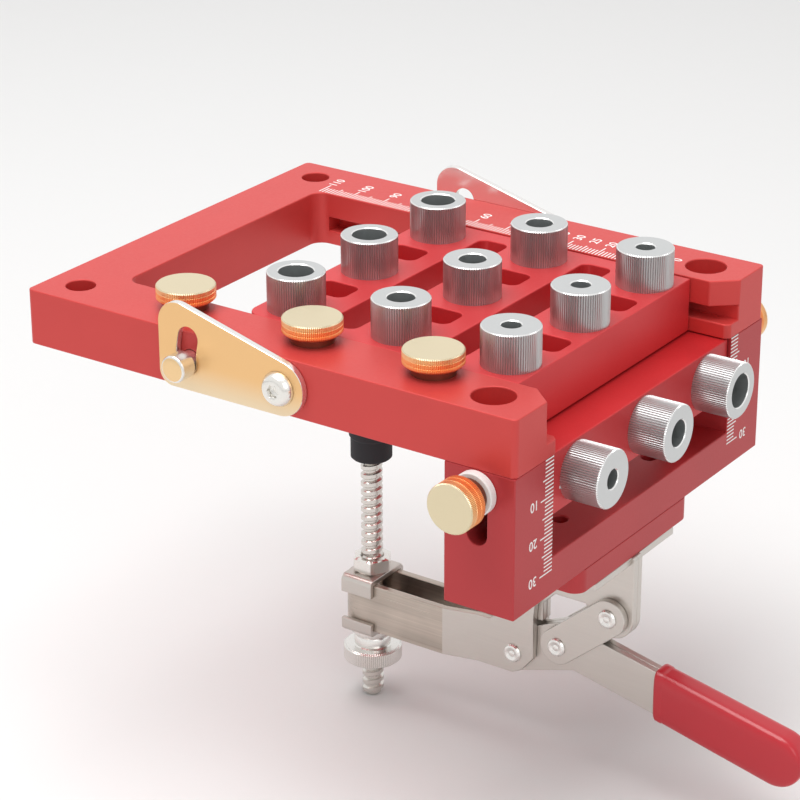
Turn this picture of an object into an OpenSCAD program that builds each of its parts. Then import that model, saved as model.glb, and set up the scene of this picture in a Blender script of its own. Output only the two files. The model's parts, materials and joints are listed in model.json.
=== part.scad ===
// Drilling jig that clamps on the edge of a board and guides the bits for hinge and fitting holes.
// The origin is the middle of the board's edge, where the frame's underside meets the fence.
// X runs from the board out to the front, Y along the board's edge and Z up.

/* [Drill bushings] */
// Distance between neighbouring bushings, along and across the jig
hole_pitch = 32; // [31:0.5:36]
// Bore of the front row and of the near edge bushing
bore_small = 5; // [3:0.5:6]
// Bore of the middle row and of the middle edge bushing
bore_middle = 7; // [5:0.5:8]
// Bore of the rear row and of the far edge bushing
bore_large = 9; // [7:0.5:10]
// Diameter of a bushing's head
bush_d = 15; // [14:0.5:16]
// Diameter of the shank that sits in the carriage or block
bush_shank_d = 12; // [11.5:0.1:13]
// Height of a top bushing's head
bush_rise = 10.1; // [7:0.1:14]
// Length of an edge bushing's head
edge_rise = 10.3; // [8:0.1:14]
// Bevel at a bushing's rims
bush_bevel = 0.3; // [0.2:0.1:0.8]

/* [Top frame] */
// Thickness of the top frame
frame_t = 15; // [14.5:0.5:18]
// Width of each side rail
rail_w = 18.9; // [18:0.1:24]
// Width of the rear beam
beam_w = 17.4; // [16:0.2:24]
// Free length behind the carriage
rear_room = 38.1; // [30:0.1:50]
// Rounding of the frame's outer corners
frame_corner_r = 1.5; // [1:0.5:4]
// Rounding of the window's rear corners
window_r = 3.8; // [3:0.1:6]
// Thickness of the lip under the groove
lip_t = 4; // [3.5:0.1:5]
// Height of the groove in each rail
groove_h = 4; // [3:0.1:4.5]
// Depth of the groove in each rail
groove_depth = 5.1; // [4.5:0.1:5.4]
// Length of the bevel on each front post
post_bevel_l = 6.1; // [3:0.1:7]
// Width of the bevel on each front post
post_bevel_w = 5.4; // [3:0.1:6]
// Bevel on the lip's front corner
lip_bevel = 1.3; // [0.5:0.1:2]
// Diameter of the counterbored part of a front corner hole
corner_hole_d = 10.9; // [9:0.1:11.2]
// Diameter of the narrow part of a front corner hole
corner_bolt_d = 5.5; // [4:0.1:6]
// Diameter of the counterbored part of a rear corner hole
rear_hole_d = 7.8; // [6.5:0.1:9]
// Diameter of the narrow part of a rear corner hole
rear_bolt_d = 4.5; // [3.5:0.1:5.5]
// Depth of the counterbores
corner_hole_depth = 6.5; // [4:0.1:6.8]
// Distance of the corner holes from the frame's sides
corner_hole_side = 9.6; // [9:0.1:11]
// Distance of the front corner holes from the front face
corner_hole_front = 12.3; // [11.5:0.1:13]
// Distance of the rear corner holes from the rear face
corner_hole_rear = 9.9; // [8:0.1:10.5]

/* [Front plate] */
// Depth of the front plate from the fence to its front face
plate_d = 19.8; // [19.5:0.1:22]
// Height of the legs under the frame
leg_h = 37; // [35:0.5:46]
// Width of each leg
leg_w = 17.1; // [16:0.1:18]
// Height of the crossbar between the legs
crossbar_h = 10.1; // [9:0.1:11]
// Width of the slot in each leg's side
leg_slot_w = 5.7; // [5.4:0.1:7]
// Length of the slot in each leg's side
leg_slot_l = 16.8; // [16.6:0.1:18.4]

/* [Carriage] */
// Thickness of the carriage
carriage_t = 14.5; // [14:0.1:14.6]
// Carriage ahead of the front row's centres
carriage_front = 8.2; // [7.8:0.1:9]
// Carriage behind the rear row's centres
carriage_rear = 9.2; // [8.6:0.1:12]
// Carriage outside the side rows' centres
carriage_side = 9.6; // [8.8:0.1:14]
// Rounding of the carriage's rear corners
carriage_corner_r = 4.4; // [3.5:0.1:6]
// Width of a long slot between two rows
slot_w = 9; // [6:0.5:11]
// Length of a long slot
slot_l = 72; // [50:1:74]
// Length of a pocket, across the rows
pocket_l = 11.2; // [6:0.2:12]
// Width of a pocket, between two bushings
pocket_w = 9; // [6:0.2:12]
// Depth of a pocket
pocket_depth = 9; // [5:0.5:11]
// Rounding of the slots' and pockets' corners
pocket_r = 2.5; // [1:0.1:2.8]
// Distance of the tongues' front ends behind the carriage's front face
tongue_front = 8.2; // [3:0.1:12]

/* [Drill block] */
// Height of the drill block
block_h = 16.2; // [15.6:0.1:18]
// Gap between the fence and the drill block's rear face
block_rear_gap = 1; // [0.5:0.1:2]
// Gap between the front faces of the plate and the drill block
block_front_gap = 0.9; // [0.5:0.1:2]
// Height of the lock screws above the bushings' axis
lock_above_axis = 2.75; // [2.5:0.05:4.5]
// Distance of the lock screws behind the block's middle
lock_behind = 0.7; // [0:0.1:1]

/* [Knobs] */
// Diameter of a rail knob
rail_knob_d = 15.3; // [13:0.1:16]
// Thickness of a rail knob's knurled disc
rail_knob_t = 3.9; // [3:0.1:6]
// Height of the neck under a rail knob
rail_knob_neck = 2.3; // [1:0.1:3]
// Diameter of a rail knob's stud
rail_stud_d = 4; // [3:0.1:4.6]
// Distance of the middle rail knob behind the front row
rail_knob_middle_back = 47.7; // [42:0.1:54]
// Distance from the middle rail knob to the front one
rail_knob_front_step = 35.7; // [32:0.1:38]
// Distance from the middle rail knob to the rear one
rail_knob_rear_step = 39.4; // [32:0.1:44]
// Diameter of a lock knob
lock_knob_d = 12.9; // [11:0.1:15]
// Thickness of a lock knob's knurled disc
lock_knob_t = 6; // [3:0.1:8]
// Diameter of the collar behind a lock knob's disc
lock_collar_d = 9; // [7:0.1:10.5]
// Length of the collar behind a lock knob's disc
lock_collar_l = 3.3; // [2:0.1:8]
// Diameter of the lock screw
lock_screw_d = 5; // [4:0.1:5.2]
// Outer diameter of the washer under a lock knob
lock_washer_d = 11.2; // [10.5:0.1:14]
// Thickness of the washer under a lock knob
lock_washer_t = 2.4; // [1:0.1:3]

/* [Side stops] */
// Thickness of a side stop plate
stop_t = 2; // [1.5:0.1:3]
// Radius of a stop's rounded pivot end
stop_pivot_r = 7.2; // [6.5:0.1:8]
// Distance of the stop's pivot behind the front row
stop_pivot_back = 46.8; // [43:0.1:52]
// Height of the stop's pivot
stop_pivot_z = 7.7; // [7.4:0.1:9.5]
// Distance from the pivot to the guide pin
stop_pin_reach = 28.5; // [24:0.5:30]
// Width of the curved slot in a stop
stop_slot_w = 6.1; // [5.8:0.1:7]
// How far a stop swings down
stop_swing = 13.5; // [8:0.5:14]
// Distance from the guide pin to the stop's free end
stop_end_reach = 8.5; // [7:0.1:10]
// Diameter of the neck of a guide pin
stop_pin_d = 5.5; // [4.5:0.1:5.6]
// Diameter of the head of a guide pin
stop_pin_head_d = 7.1; // [6.8:0.1:9]
// Diameter of a stop's pivot screw
stop_screw_d = 5; // [4:0.1:6]
// Diameter of the pivot screw's button head
stop_head_d = 9; // [8:0.1:11]
// Height of the pivot screw's button head
stop_head_h = 2.4; // [2:0.1:3]

/* [Toggle clamp] */
// Thickness of the spacer block under the crossbar
clamp_block_t = 6.4; // [5:0.1:8]
// Width of the spacer block
clamp_block_w = 55; // [50:0.5:60]
// Rounding of the spacer block's front corners
clamp_block_r = 3.5; // [2:0.1:5]
// Distance of the clamp's mid-plane from the jig's mid-plane, to the near side
clamp_shift = 3; // [0:0.5:5]
// Thickness of the clamp's steel plates
steel_t = 2; // [1.6:0.1:2.2]
// Gap between plates that turn against each other
layer_gap = 0.1; // [0.1:0.05:0.2]
// Width of the clamp base over both flanges
flange_w = 39; // [37:0.5:44]
// Distance of the flange screws from the clamp's mid-plane
flange_screw_y = 12.7; // [11:0.1:14]
// Distance between the front and rear flange screws
flange_screw_step = 10.5; // [9:0.1:11]
// Distance of the link's base pivot behind the front face
link_pivot_back = 5.3; // [4.5:0.1:6]
// Distance of the link's base pivot below the flange
link_pivot_drop = 18.1; // [17.5:0.1:20]
// Distance between the two base pivots
base_pivot_step = 26.5; // [26:0.1:28]
// Radius of the base's eye at the arm's pivot
base_arm_eye_r = 7; // [6:0.1:7.2]
// Radius of the base's eye at the link's pivot
base_link_eye_r = 6.3; // [5.8:0.1:6.6]
// Diameter of the rivets' shanks
rivet_d = 3.6; // [3:0.1:3.8]
// Diameter of the rivets' heads
rivet_head_d = 5.2; // [5:0.1:6]
// Height of the rivets' heads
rivet_head_h = 0.8; // [0.5:0.1:1]

/* [Clamp arm and handle] */
// Distance from the arm's base pivot down to the handle's pivot
arm_drop = 17.5; // [17.2:0.1:18]
// Distance from the handle's pivot to the link's upper pivot, along X
toggle_reach = 13.4; // [13:0.1:13.8]
// Height of the link's pivot on the handle above the handle's pivot
toggle_rise = 5.8; // [5.5:0.1:6]
// Depth of the arm's bar
arm_depth = 13.8; // [12:0.1:14]
// Distance of the arm's end behind the fence
arm_reach = 68.6; // [67.5:0.1:80]
// Width of the slot between the arm's two strips
arm_slot_w = 8.6; // [7:0.1:9]
// Radius of the cheek's eye at the arm's base pivot
arm_eye_r = 5; // [4.5:0.1:5.2]
// Radius of the handle's round end
handle_end_r = 5.9; // [5.2:0.1:6]
// Depth of the lever
lever_depth = 12.1; // [11:0.1:12.4]
// Slope of the lever when the clamp is closed
lever_slope = 12.3; // [11:0.1:14]
// Length of the lever from its upper corner
lever_l = 62; // [55:0.5:80]
// Radius of the link's ends
link_r = 5; // [4.6:0.1:5.2]
// Radius of the handle's open hole round the link's rivet
open_hole_r = 3.7; // [3.5:0.1:3.9]
// Length of the grip
grip_l = 43; // [38:0.5:60]
// Height of the grip
grip_h = 14.7; // [13.5:0.1:17]
// Width of the grip
grip_w = 8; // [7:0.1:12]
// Rounding of the grip's long edges
grip_edge_r = 2.4; // [1:0.1:3.2]
// How far the grip stands past the lever's end
grip_overlap = 11.5; // [7:0.5:14]

/* [Clamp spindle] */
// Distance of the spindle's axis behind the fence
spindle_back = 61.7; // [56:0.1:63]
// Diameter of the spindle
spindle_d = 5.9; // [5:0.1:5.9]
// Height of the spindle's foot below the frame, the thickest board it holds as drawn
board_t = 27; // [18:0.5:32]
// Length of the spindle below the knurled nut
spindle_tail = 11.2; // [10:0.1:30]
// Diameter of the rubber cap
cap_d = 12; // [10:0.5:16]
// Height of the rubber cap
cap_h = 10; // [8:0.5:14]
// Length of a flanged washer along the arm
saddle_l = 9.8; // [9:0.1:12]
// Thickness of a flanged washer's plate
saddle_t = 1.6; // [1.2:0.1:2.8]
// Thickness of a flanged washer's lips
saddle_lip_t = 1.4; // [1:0.1:2]
// Depth of the upper flanged washer's lips past its plate
saddle_lip = 3.5; // [2:0.1:4]
// Height of the lower flanged washer's lips past its plate
saddle_low_lip = 2.4; // [1.5:0.1:4]
// Width across the flats of the hexagon nut
hex_nut_w = 9.6; // [9:0.1:10.4]
// Height of the hexagon nut
hex_nut_h = 4.2; // [3:0.1:6]
// Diameter of the plain ring under the lower washer
ring_d = 12; // [11:0.1:13]
// Thickness of the plain ring
ring_t = 2.5; // [1:0.1:3]
// Diameter of the knurled nut
knurl_nut_d = 16; // [14:0.1:18]
// Height of the knurled nut's rim
knurl_nut_h = 4.5; // [4:0.1:6]
// Diameter of the knurled nut's collar
knurl_collar_d = 10; // [9:0.1:11]
// Height of the knurled nut's collar
knurl_collar_h = 3.2; // [2:0.1:4]

/* [Hidden] */
$fn = 64;

// Overrun of every cut past the face that it opens
over = 1;
// Radial clearance of a screw, stud or rivet in its hole
run_gap = 0.05;
// Gap of the sliding faces
slide_gap = 0.3;
// Gap above and below a tongue in its groove
tongue_gap = 0.15;
// Gap of the carriage above the board and of the block under the lip
board_gap = 0.2;
// Bevel on a knob's rims
knob_bevel = 0.4;

// Frame
rail_inner = hole_pitch + carriage_side + slide_gap;
frame_half = rail_inner + rail_w;
carriage_back_x = -(2 * hole_pitch + carriage_rear);
window_rear_x = carriage_back_x - rear_room;
frame_rear_x = window_rear_x - beam_w;
front_hole_x = plate_d - corner_hole_front;
rear_hole_x = frame_rear_x + corner_hole_rear;
corner_hole_y = frame_half - corner_hole_side;
groove_top = lip_t + groove_h;
groove_y = rail_inner + groove_depth;
groove_rear_x = window_rear_x + window_r;

// Front plate
leg_inner = frame_half - leg_w;
crossbar_top = crossbar_h - leg_h;
plate_screw_d = 3;
plate_screw_head_d = 5.5;
plate_screw_head_h = 3;
plate_screw_edge = 4;
plate_screw_y = frame_half - plate_screw_edge - plate_screw_d / 2;
plate_screw_top = 6.8;

// Carriage
carriage_half = rail_inner - slide_gap;
carriage_top = board_gap + carriage_t;
row_bores = [bore_small, bore_middle, bore_large];

// Drill block
block_half = leg_inner - slide_gap;
block_top = -slide_gap;
block_front_x = plate_d - block_front_gap;
edge_axis_z = block_top - block_h / 2;
lock_x = (block_rear_gap + block_front_x) / 2 - lock_behind;
lock_z = edge_axis_z + lock_above_axis;
lock_grip = block_half - hole_pitch - bush_shank_d / 2 - 3 * slide_gap;
leg_slot_low_z = lock_z + leg_slot_w - leg_slot_l;

// Rail knobs
rail_stud_wall = 1.2;
rail_knob_y = -max(
  hole_pitch + bush_d / 2 + slide_gap + rail_knob_d / 2,
  rail_inner + rail_stud_wall + rail_stud_d / 2
);
rail_knob_xs = [
  -rail_knob_middle_back - rail_knob_rear_step,
  -rail_knob_middle_back,
  -rail_knob_middle_back + rail_knob_front_step
];
rail_neck_share = 0.74;
rail_neck_d = rail_neck_share * rail_knob_d;

// Side stops
stop_y = frame_half + layer_gap;
stop_pin_x = -stop_pivot_back - stop_pin_reach;
stop_rear_r = 4;
stop_top_r = 6;
stop_rear_x = stop_pin_x - stop_end_reach;
stop_pin_gap = 0.6;
stop_pin_head_h = 4.9;
stop_pin_depth = 8;
stop_screw_depth = 8;
stop_top_rise = 9.4;
stop_bottom_z = 0.4;
stop_head_top_share = 0.66;
stop_socket_d = 3.5;

// Clamp base
clamp_y = -clamp_shift;
flange_top = -leg_h - clamp_block_t;
link_base = [plate_d - link_pivot_back, flange_top - link_pivot_drop];
base_pivot_drop = 1;
arm_base = [link_base[0] - base_pivot_step, link_base[1] - base_pivot_drop];
arm_lean = 1.8;
handle_pivot = [arm_base[0] - arm_lean, arm_base[1] - arm_drop];
link_top = handle_pivot + [toggle_reach, toggle_rise];
flange_screw_d = 4;
flange_screw_head_d = 8;
flange_screw_head_h = 1.3;
flange_screw_edge = 4.8;
flange_screw_x = plate_d - flange_screw_edge;
flange_screw_bite = 4;
block_screw_d = 4;
block_screw_head_d = 7;
block_screw_head_h = 3;
block_screw_open = 3;
block_screw_edge = 9.3;
block_screw_x = plate_d - block_screw_edge;
block_screw_side = 5.6;
block_screw_y = clamp_block_w / 2 - block_screw_side;
rivet_r = rivet_d / 2;
rivet_top_share = 0.66;
ear_top_r = 1;
ear_strut_w = 6;
ear_step = [3.6, 1.2];
ear_room_rise = 2.3;
ear_room_slope = 1.4;

// Clamp arm
cheek_y0 = steel_t + layer_gap;
cheek_y1 = cheek_y0 + steel_t;
strip_y0 = arm_slot_w / 2;
strip_y1 = strip_y0 + steel_t;
arm_bar_drop = 9.5;
arm_top = arm_base[1] - arm_bar_drop;
arm_bottom = arm_top - arm_depth;
arm_bend_x = -arm_reach + strip_y1;
joggle_back = 22.6;
joggle_l = 9.6;
joggle_x0 = arm_base[0] - joggle_back;
joggle_x1 = joggle_x0 + joggle_l;
cheek_front = 4.4;
cheek_end_x = arm_base[0] + cheek_front;
cheek_neck = 4;
cheek_toe = [2.4, 1.2];

// Handle
toggle_dir = (link_top - handle_pivot) / norm(link_top - handle_pivot);
toggle_normal = [-toggle_dir[1], toggle_dir[0]];
lever_dir = [cos(lever_slope), -sin(lever_slope)];
lever_normal = [sin(lever_slope), cos(lever_slope)];
handle_back_l = 17.5;
handle_corner_r = 2;
heel_run = 5.9;
lever_corner = handle_pivot + handle_end_r * toggle_normal + handle_back_l * toggle_dir;
corner_centre = lever_corner
  - handle_corner_r * (toggle_normal + lever_normal) / (1 + toggle_normal * lever_normal);
heel_centre = lever_corner + heel_run * lever_dir - (lever_depth - handle_corner_r) * lever_normal;
grip_start = lever_l + grip_overlap - grip_l;

// Spindle
saddle_top = arm_top + saddle_t;
saddle_bottom = arm_bottom - saddle_t;
ring_bottom = saddle_bottom - ring_t;
knurl_top = ring_bottom - knurl_collar_h;
knurl_bottom = knurl_top - knurl_nut_h;
cap_bottom = -board_t - cap_h;
cap_bore_share = 0.7;
rod_top = cap_bottom + cap_bore_share * cap_h;
spindle_end = knurl_bottom - spindle_tail;
saddle_gap = 0.1;
saddle_y = strip_y1 + saddle_gap;

// Box between two corners, given as ranges along X, Y and Z
module slab(x, y, z) {
  translate([x[0], y[0], z[0]]) cube([x[1] - x[0], y[1] - y[0], z[1] - z[0]]);
}

// Round bar along X, Y or Z, between two ends
module bar_x(y, z, x, r) {
  translate([x[0], y, z]) rotate([0, 90, 0]) cylinder(h = x[1] - x[0], r = r);
}
module bar_y(x, z, y, r) {
  translate([x, y[0], z]) rotate([-90, 0, 0]) cylinder(h = y[1] - y[0], r = r);
}
module bar_z(x, y, z, r) {
  translate([x, y, z[0]]) cylinder(h = z[1] - z[0], r = r);
}

// Sheet that lies upright along X, cut to the outline of its children, between two Y values
module upright(y) {
  translate([0, y[1], 0]) rotate([90, 0, 0]) linear_extrude(y[1] - y[0]) children();
}

// Unit normal of the line that touches two circles on its right-hand side
function touch_normal(a, b, ra, rb) =
  let (d = norm(b - a), u = (b - a) / d, s = (ra - rb) / d)
  s * u + sqrt(1 - s * s) * [u[1], -u[0]];

// Outline of a band pulled tight round circles that are listed anticlockwise
module band(centres, radii) {
  n = len(centres);
  polygon([
    for (i = [0 : n - 1])
      let (
        j = (i + 1) % n,
        normal = touch_normal(centres[i], centres[j], radii[i], radii[j])
      )
      each [centres[i] + radii[i] * normal, centres[j] + radii[j] * normal]
  ]);
  for (i = [0 : n - 1]) translate(centres[i]) circle(r = radii[i]);
}

// Rectangle with round corners, given as ranges along X and Y
module rounded(x, y, r) {
  band(
    [[x[0] + r, y[0] + r], [x[1] - r, y[0] + r], [x[1] - r, y[1] - r], [x[0] + r, y[1] - r]],
    [r, r, r, r]
  );
}

// Mirror image of the children about the jig's mid-plane
module far_side() {
  mirror([0, 1, 0]) children();
}

// The U-shaped frame that lies on the board
module top_frame() {
  color("#d8343c") difference() {
    linear_extrude(frame_t) rounded([frame_rear_x, plate_d], [-frame_half, frame_half], frame_corner_r);
    translate([0, 0, -over]) linear_extrude(frame_t + 2 * over)
      rounded([window_rear_x, plate_d + 2 * window_r], [-rail_inner, rail_inner], window_r);
    for (side = [-1, 1]) scale([1, side, 1]) rail_cuts();
    for (x = rail_knob_xs)
      bar_z(x, rail_knob_y, [groove_top - over, frame_t + over], rail_stud_d / 2 + run_gap);
  }
}

// Groove, bevels and holes of the rail on the +Y side
module rail_cuts() {
  slab([groove_rear_x, plate_d + over], [rail_inner - over, groove_y], [lip_t, groove_top]);
  translate([0, 0, groove_top]) linear_extrude(frame_t) polygon([
    [plate_d - post_bevel_l, rail_inner],
    [plate_d, rail_inner + post_bevel_w],
    [plate_d + over, rail_inner + post_bevel_w],
    [plate_d + over, rail_inner - over],
    [plate_d - post_bevel_l, rail_inner - over]
  ]);
  translate([0, 0, -over]) linear_extrude(lip_t + 2 * over) polygon([
    [plate_d - lip_bevel, rail_inner],
    [plate_d, rail_inner + lip_bevel],
    [plate_d + over, rail_inner + lip_bevel],
    [plate_d + over, rail_inner - over],
    [plate_d - lip_bevel, rail_inner - over]
  ]);
  corner_hole(front_hole_x, corner_hole_d, corner_bolt_d);
  corner_hole(rear_hole_x, rear_hole_d, rear_bolt_d);
  for (x = plate_screw_xs())
    bar_z(x, plate_screw_y, [-over, plate_screw_top], plate_screw_d / 2 + run_gap);
  bar_y(-stop_pivot_back, stop_pivot_z, [frame_half - stop_screw_depth, frame_half + over],
    stop_screw_d / 2 + run_gap);
  bar_y(stop_pin_x, stop_pivot_z, [frame_half - stop_pin_depth, frame_half + over],
    stop_pin_d / 2 + run_gap);
}

// Stepped hole down through a corner of the frame
module corner_hole(x, wide_d, narrow_d) {
  bar_z(x, corner_hole_y, [frame_t - corner_hole_depth, frame_t + over], wide_d / 2);
  bar_z(x, corner_hole_y, [-over, frame_t], narrow_d / 2);
}

// Places along X of the screws that join each leg to the frame
function plate_screw_xs() = [plate_screw_edge, plate_d - plate_screw_edge];

// Legs and crossbar, whose rear faces are the fence
module front_plate() {
  color("#c4262e") difference() {
    slab([0, plate_d], [-frame_half, frame_half], [-leg_h, 0]);
    slab([-over, plate_d + over], [-leg_inner, leg_inner], [crossbar_top, over]);
    for (side = [-1, 1]) scale([1, side, 1]) leg_cuts();
    for (side = [-1, 1]) {
      y = clamp_y + side * block_screw_y;
      bar_z(block_screw_x, y, [-leg_h - over, crossbar_top + over], block_screw_d / 2 + run_gap);
      for (x = flange_screw_xs())
        bar_z(x, clamp_y + side * flange_screw_y, [-leg_h - over, flange_screw_bite - leg_h],
          flange_screw_d / 2 + run_gap);
    }
  }
}

// Lock slot and screw holes of the leg on the +Y side
module leg_cuts() {
  upright([leg_inner - over, frame_half + over]) band(
    [
      [lock_x, leg_slot_low_z],
      [lock_x, lock_z]
    ],
    [leg_slot_w / 2, leg_slot_w / 2]
  );
  for (x = plate_screw_xs()) {
    bar_z(x, plate_screw_y, [-leg_h - over, over], plate_screw_d / 2 + run_gap);
    bar_z(x, plate_screw_y, [-leg_h - over, plate_screw_head_h - leg_h],
      plate_screw_head_d / 2 + slide_gap);
  }
}

// Four screws that come up through the legs into the frame
module frame_screws() {
  color("silver") for (side = [-1, 1], x = plate_screw_xs()) {
    bar_z(x, side * plate_screw_y, [-leg_h, plate_screw_top], plate_screw_d / 2);
    bar_z(x, side * plate_screw_y, [-leg_h, plate_screw_head_h - leg_h], plate_screw_head_d / 2);
  }
}

// Spacer block between the crossbar and the toggle clamp
module clamp_block() {
  color("#c4262e") difference() {
    translate([0, 0, flange_top]) linear_extrude(clamp_block_t) intersection() {
      rounded([-clamp_block_r * 2, plate_d],
        [clamp_y - clamp_block_w / 2, clamp_y + clamp_block_w / 2], clamp_block_r);
      translate([0, clamp_y - clamp_block_w]) square([plate_d, 2 * clamp_block_w]);
    }
    for (side = [-1, 1]) {
      y = clamp_y + side * block_screw_y;
      bar_z(block_screw_x, y, [flange_top - over, over - leg_h], block_screw_d / 2 + run_gap);
      bar_z(block_screw_x, y, [flange_top - over, flange_top + block_screw_head_h],
        block_screw_head_d / 2 + slide_gap);
      for (x = flange_screw_xs())
        bar_z(x, clamp_y + side * flange_screw_y, [flange_top - over, over - leg_h],
          flange_screw_d / 2 + run_gap);
    }
  }
}

// Two screws that come up through the spacer block into the crossbar
module block_screws() {
  bottom = flange_top + slide_gap;
  color("silver") for (side = [-1, 1]) {
    y = clamp_y + side * block_screw_y;
    bar_z(block_screw_x, y, [bottom, crossbar_top - block_screw_open], block_screw_d / 2);
    bar_z(block_screw_x, y, [bottom, flange_top + block_screw_head_h], block_screw_head_d / 2);
  }
}

// Sliding plate that carries the nine top bushings
module carriage() {
  color("#e04048") difference() {
    union() {
      translate([0, 0, board_gap]) linear_extrude(carriage_t) union() {
        rounded([carriage_back_x, 0], [-carriage_half, carriage_half], carriage_corner_r);
        translate([carriage_back_x / 2, -carriage_half])
          square([carriage_front - carriage_back_x / 2, 2 * carriage_half]);
      }
      slab(
        [carriage_back_x + carriage_corner_r, carriage_front - tongue_front],
        [-groove_y + slide_gap, groove_y - slide_gap],
        [lip_t + tongue_gap, groove_top - tongue_gap]
      );
    }
    for (row = [0, 1, 2], column = [-1, 0, 1])
      bar_z(-row * hole_pitch, column * hole_pitch, [-over, carriage_top + over],
        bush_shank_d / 2 + run_gap);
    for (gap = [1 / 2, 3 / 2]) translate([-gap * hole_pitch, 0, -over])
      linear_extrude(carriage_top + 2 * over)
        rounded([-slot_w / 2, slot_w / 2], [-slot_l / 2, slot_l / 2], pocket_r);
    for (row = [0, 1, 2], side = [-1, 1])
      translate([-row * hole_pitch, side * hole_pitch / 2, carriage_top - pocket_depth])
        linear_extrude(pocket_depth + over)
          rounded([-pocket_l / 2, pocket_l / 2], [-pocket_w / 2, pocket_w / 2], pocket_r);
  }
}

// Headed bushing on the Z axis, with the head's foot at zero
module bushing(bore, head_h, shank_h) {
  head_r = bush_d / 2;
  color("#b9bcc0") rotate_extrude() polygon([
    [bore / 2, -shank_h],
    [bush_shank_d / 2, -shank_h],
    [bush_shank_d / 2, 0],
    [head_r, 0],
    [head_r, head_h - bush_bevel],
    [head_r - bush_bevel, head_h],
    [bore / 2 + bush_bevel, head_h],
    [bore / 2, head_h - bush_bevel]
  ]);
}

// Row of three top bushings, counted from the front
module bushing_row(row) {
  for (column = [-1, 0, 1])
    translate([-row * hole_pitch, column * hole_pitch, carriage_top])
      bushing(row_bores[row], bush_rise, carriage_t);
}

// Block that slides up and down between the legs, with its three bushing seats
module drill_block() {
  color("#d22830") difference() {
    slab([block_rear_gap, block_front_x], [-block_half, block_half], [block_top - block_h, block_top]);
    for (column = [-1, 0, 1])
      bar_x(column * hole_pitch, edge_axis_z, [0, plate_d], bush_shank_d / 2 + run_gap);
    for (side = [-1, 1]) scale([1, side, 1])
      bar_y(lock_x, lock_z, [block_half - lock_grip, block_half + over], lock_screw_d / 2 + run_gap);
  }
}

// Edge bushing at one of the three places along Y
module edge_bushing(column, bore) {
  translate([block_front_x, column * hole_pitch, edge_axis_z]) rotate([0, 90, 0])
    bushing(bore, edge_rise, block_front_x - block_rear_gap);
}

// Washer under the lock knob on the near side
module lock_washer() {
  color("white") difference() {
    bar_y(lock_x, lock_z, [-frame_half - lock_washer_t, -frame_half], lock_washer_d / 2);
    bar_y(lock_x, lock_z, [-frame_half - lock_washer_t - over, over - frame_half],
      lock_screw_d / 2 + slide_gap);
  }
}

// Knob with its screw on the near side, which locks the drill block to the leg
module lock_knob() {
  face = lock_washer_t + lock_collar_l + lock_knob_t;
  screw_l = frame_half - block_half + lock_grip - slide_gap;
  r = lock_knob_d / 2;
  color("#d8a75a") translate([lock_x, -frame_half, lock_z]) rotate([90, 0, 0]) rotate_extrude() polygon([
    [0, -screw_l],
    [lock_screw_d / 2, -screw_l],
    [lock_screw_d / 2, lock_washer_t],
    [lock_collar_d / 2, lock_washer_t],
    [lock_collar_d / 2, face - lock_knob_t],
    [r - knob_bevel, face - lock_knob_t],
    [r, face - lock_knob_t + knob_bevel],
    [r, face - knob_bevel],
    [r - knob_bevel, face],
    [0, face]
  ]);
}

// Knob on the near rail, whose stud presses on the carriage's tongue
module rail_knob(index) {
  disc = frame_t + rail_knob_neck;
  r = rail_knob_d / 2;
  color("#d8a75a") translate([rail_knob_xs[index], rail_knob_y, 0]) rotate_extrude() polygon([
    [0, groove_top],
    [rail_stud_d / 2, groove_top],
    [rail_stud_d / 2, frame_t],
    [rail_neck_d / 2, frame_t],
    [rail_neck_d / 2, disc],
    [r - knob_bevel, disc],
    [r, disc + knob_bevel],
    [r, disc + rail_knob_t - knob_bevel],
    [r - knob_bevel, disc + rail_knob_t],
    [0, disc + rail_knob_t]
  ]);
}

// Outline of a side stop: rounded at its pivot and taller at its free end
module stop_outline() {
  rear_x = stop_rear_x;
  band(
    [
      [rear_x + stop_rear_r, stop_bottom_z + stop_rear_r],
      [-stop_pivot_back, stop_pivot_z],
      [rear_x + stop_top_r, stop_pivot_z + stop_top_rise]
    ],
    [stop_rear_r, stop_pivot_r, stop_top_r]
  );
}

// Side stop on the near side, with the slot that follows its swing
module side_stop() {
  color("#c9b27a") difference() {
    upright([-stop_y - stop_t, -stop_y]) difference() {
      stop_outline();
      translate([-stop_pivot_back, stop_pivot_z]) {
        intersection() {
          difference() {
            circle(r = stop_pin_reach + stop_slot_w / 2);
            circle(r = stop_pin_reach - stop_slot_w / 2);
          }
          polygon([
            [0, 0],
            [-2 * stop_pin_reach, 0],
            2 * stop_pin_reach * [-cos(stop_swing), sin(stop_swing)]
          ]);
        }
        for (swing = [0, stop_swing])
          translate(stop_pin_reach * [-cos(swing), sin(swing)]) circle(r = stop_slot_w / 2);
      }
    }
    bar_y(-stop_pivot_back, stop_pivot_z, [-stop_y - stop_t - over, over - stop_y],
      stop_screw_d / 2 + run_gap);
  }
}

// Button-head screw that a side stop turns on
module stop_screw() {
  head_y = -stop_y - stop_t - layer_gap;
  screw_end = stop_screw_depth - slide_gap - frame_half;
  color("silver") difference() {
    union() {
      bar_y(-stop_pivot_back, stop_pivot_z, [head_y, screw_end], stop_screw_d / 2);
      translate([-stop_pivot_back, head_y, stop_pivot_z]) rotate([90, 0, 0])
        cylinder(h = stop_head_h, d1 = stop_head_d, d2 = stop_head_top_share * stop_head_d);
    }
    translate([-stop_pivot_back, head_y - stop_head_h - over, stop_pivot_z]) rotate([-90, 0, 0])
      cylinder(h = stop_head_h / 2 + over, d = stop_socket_d, $fn = 6);
  }
}

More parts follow.
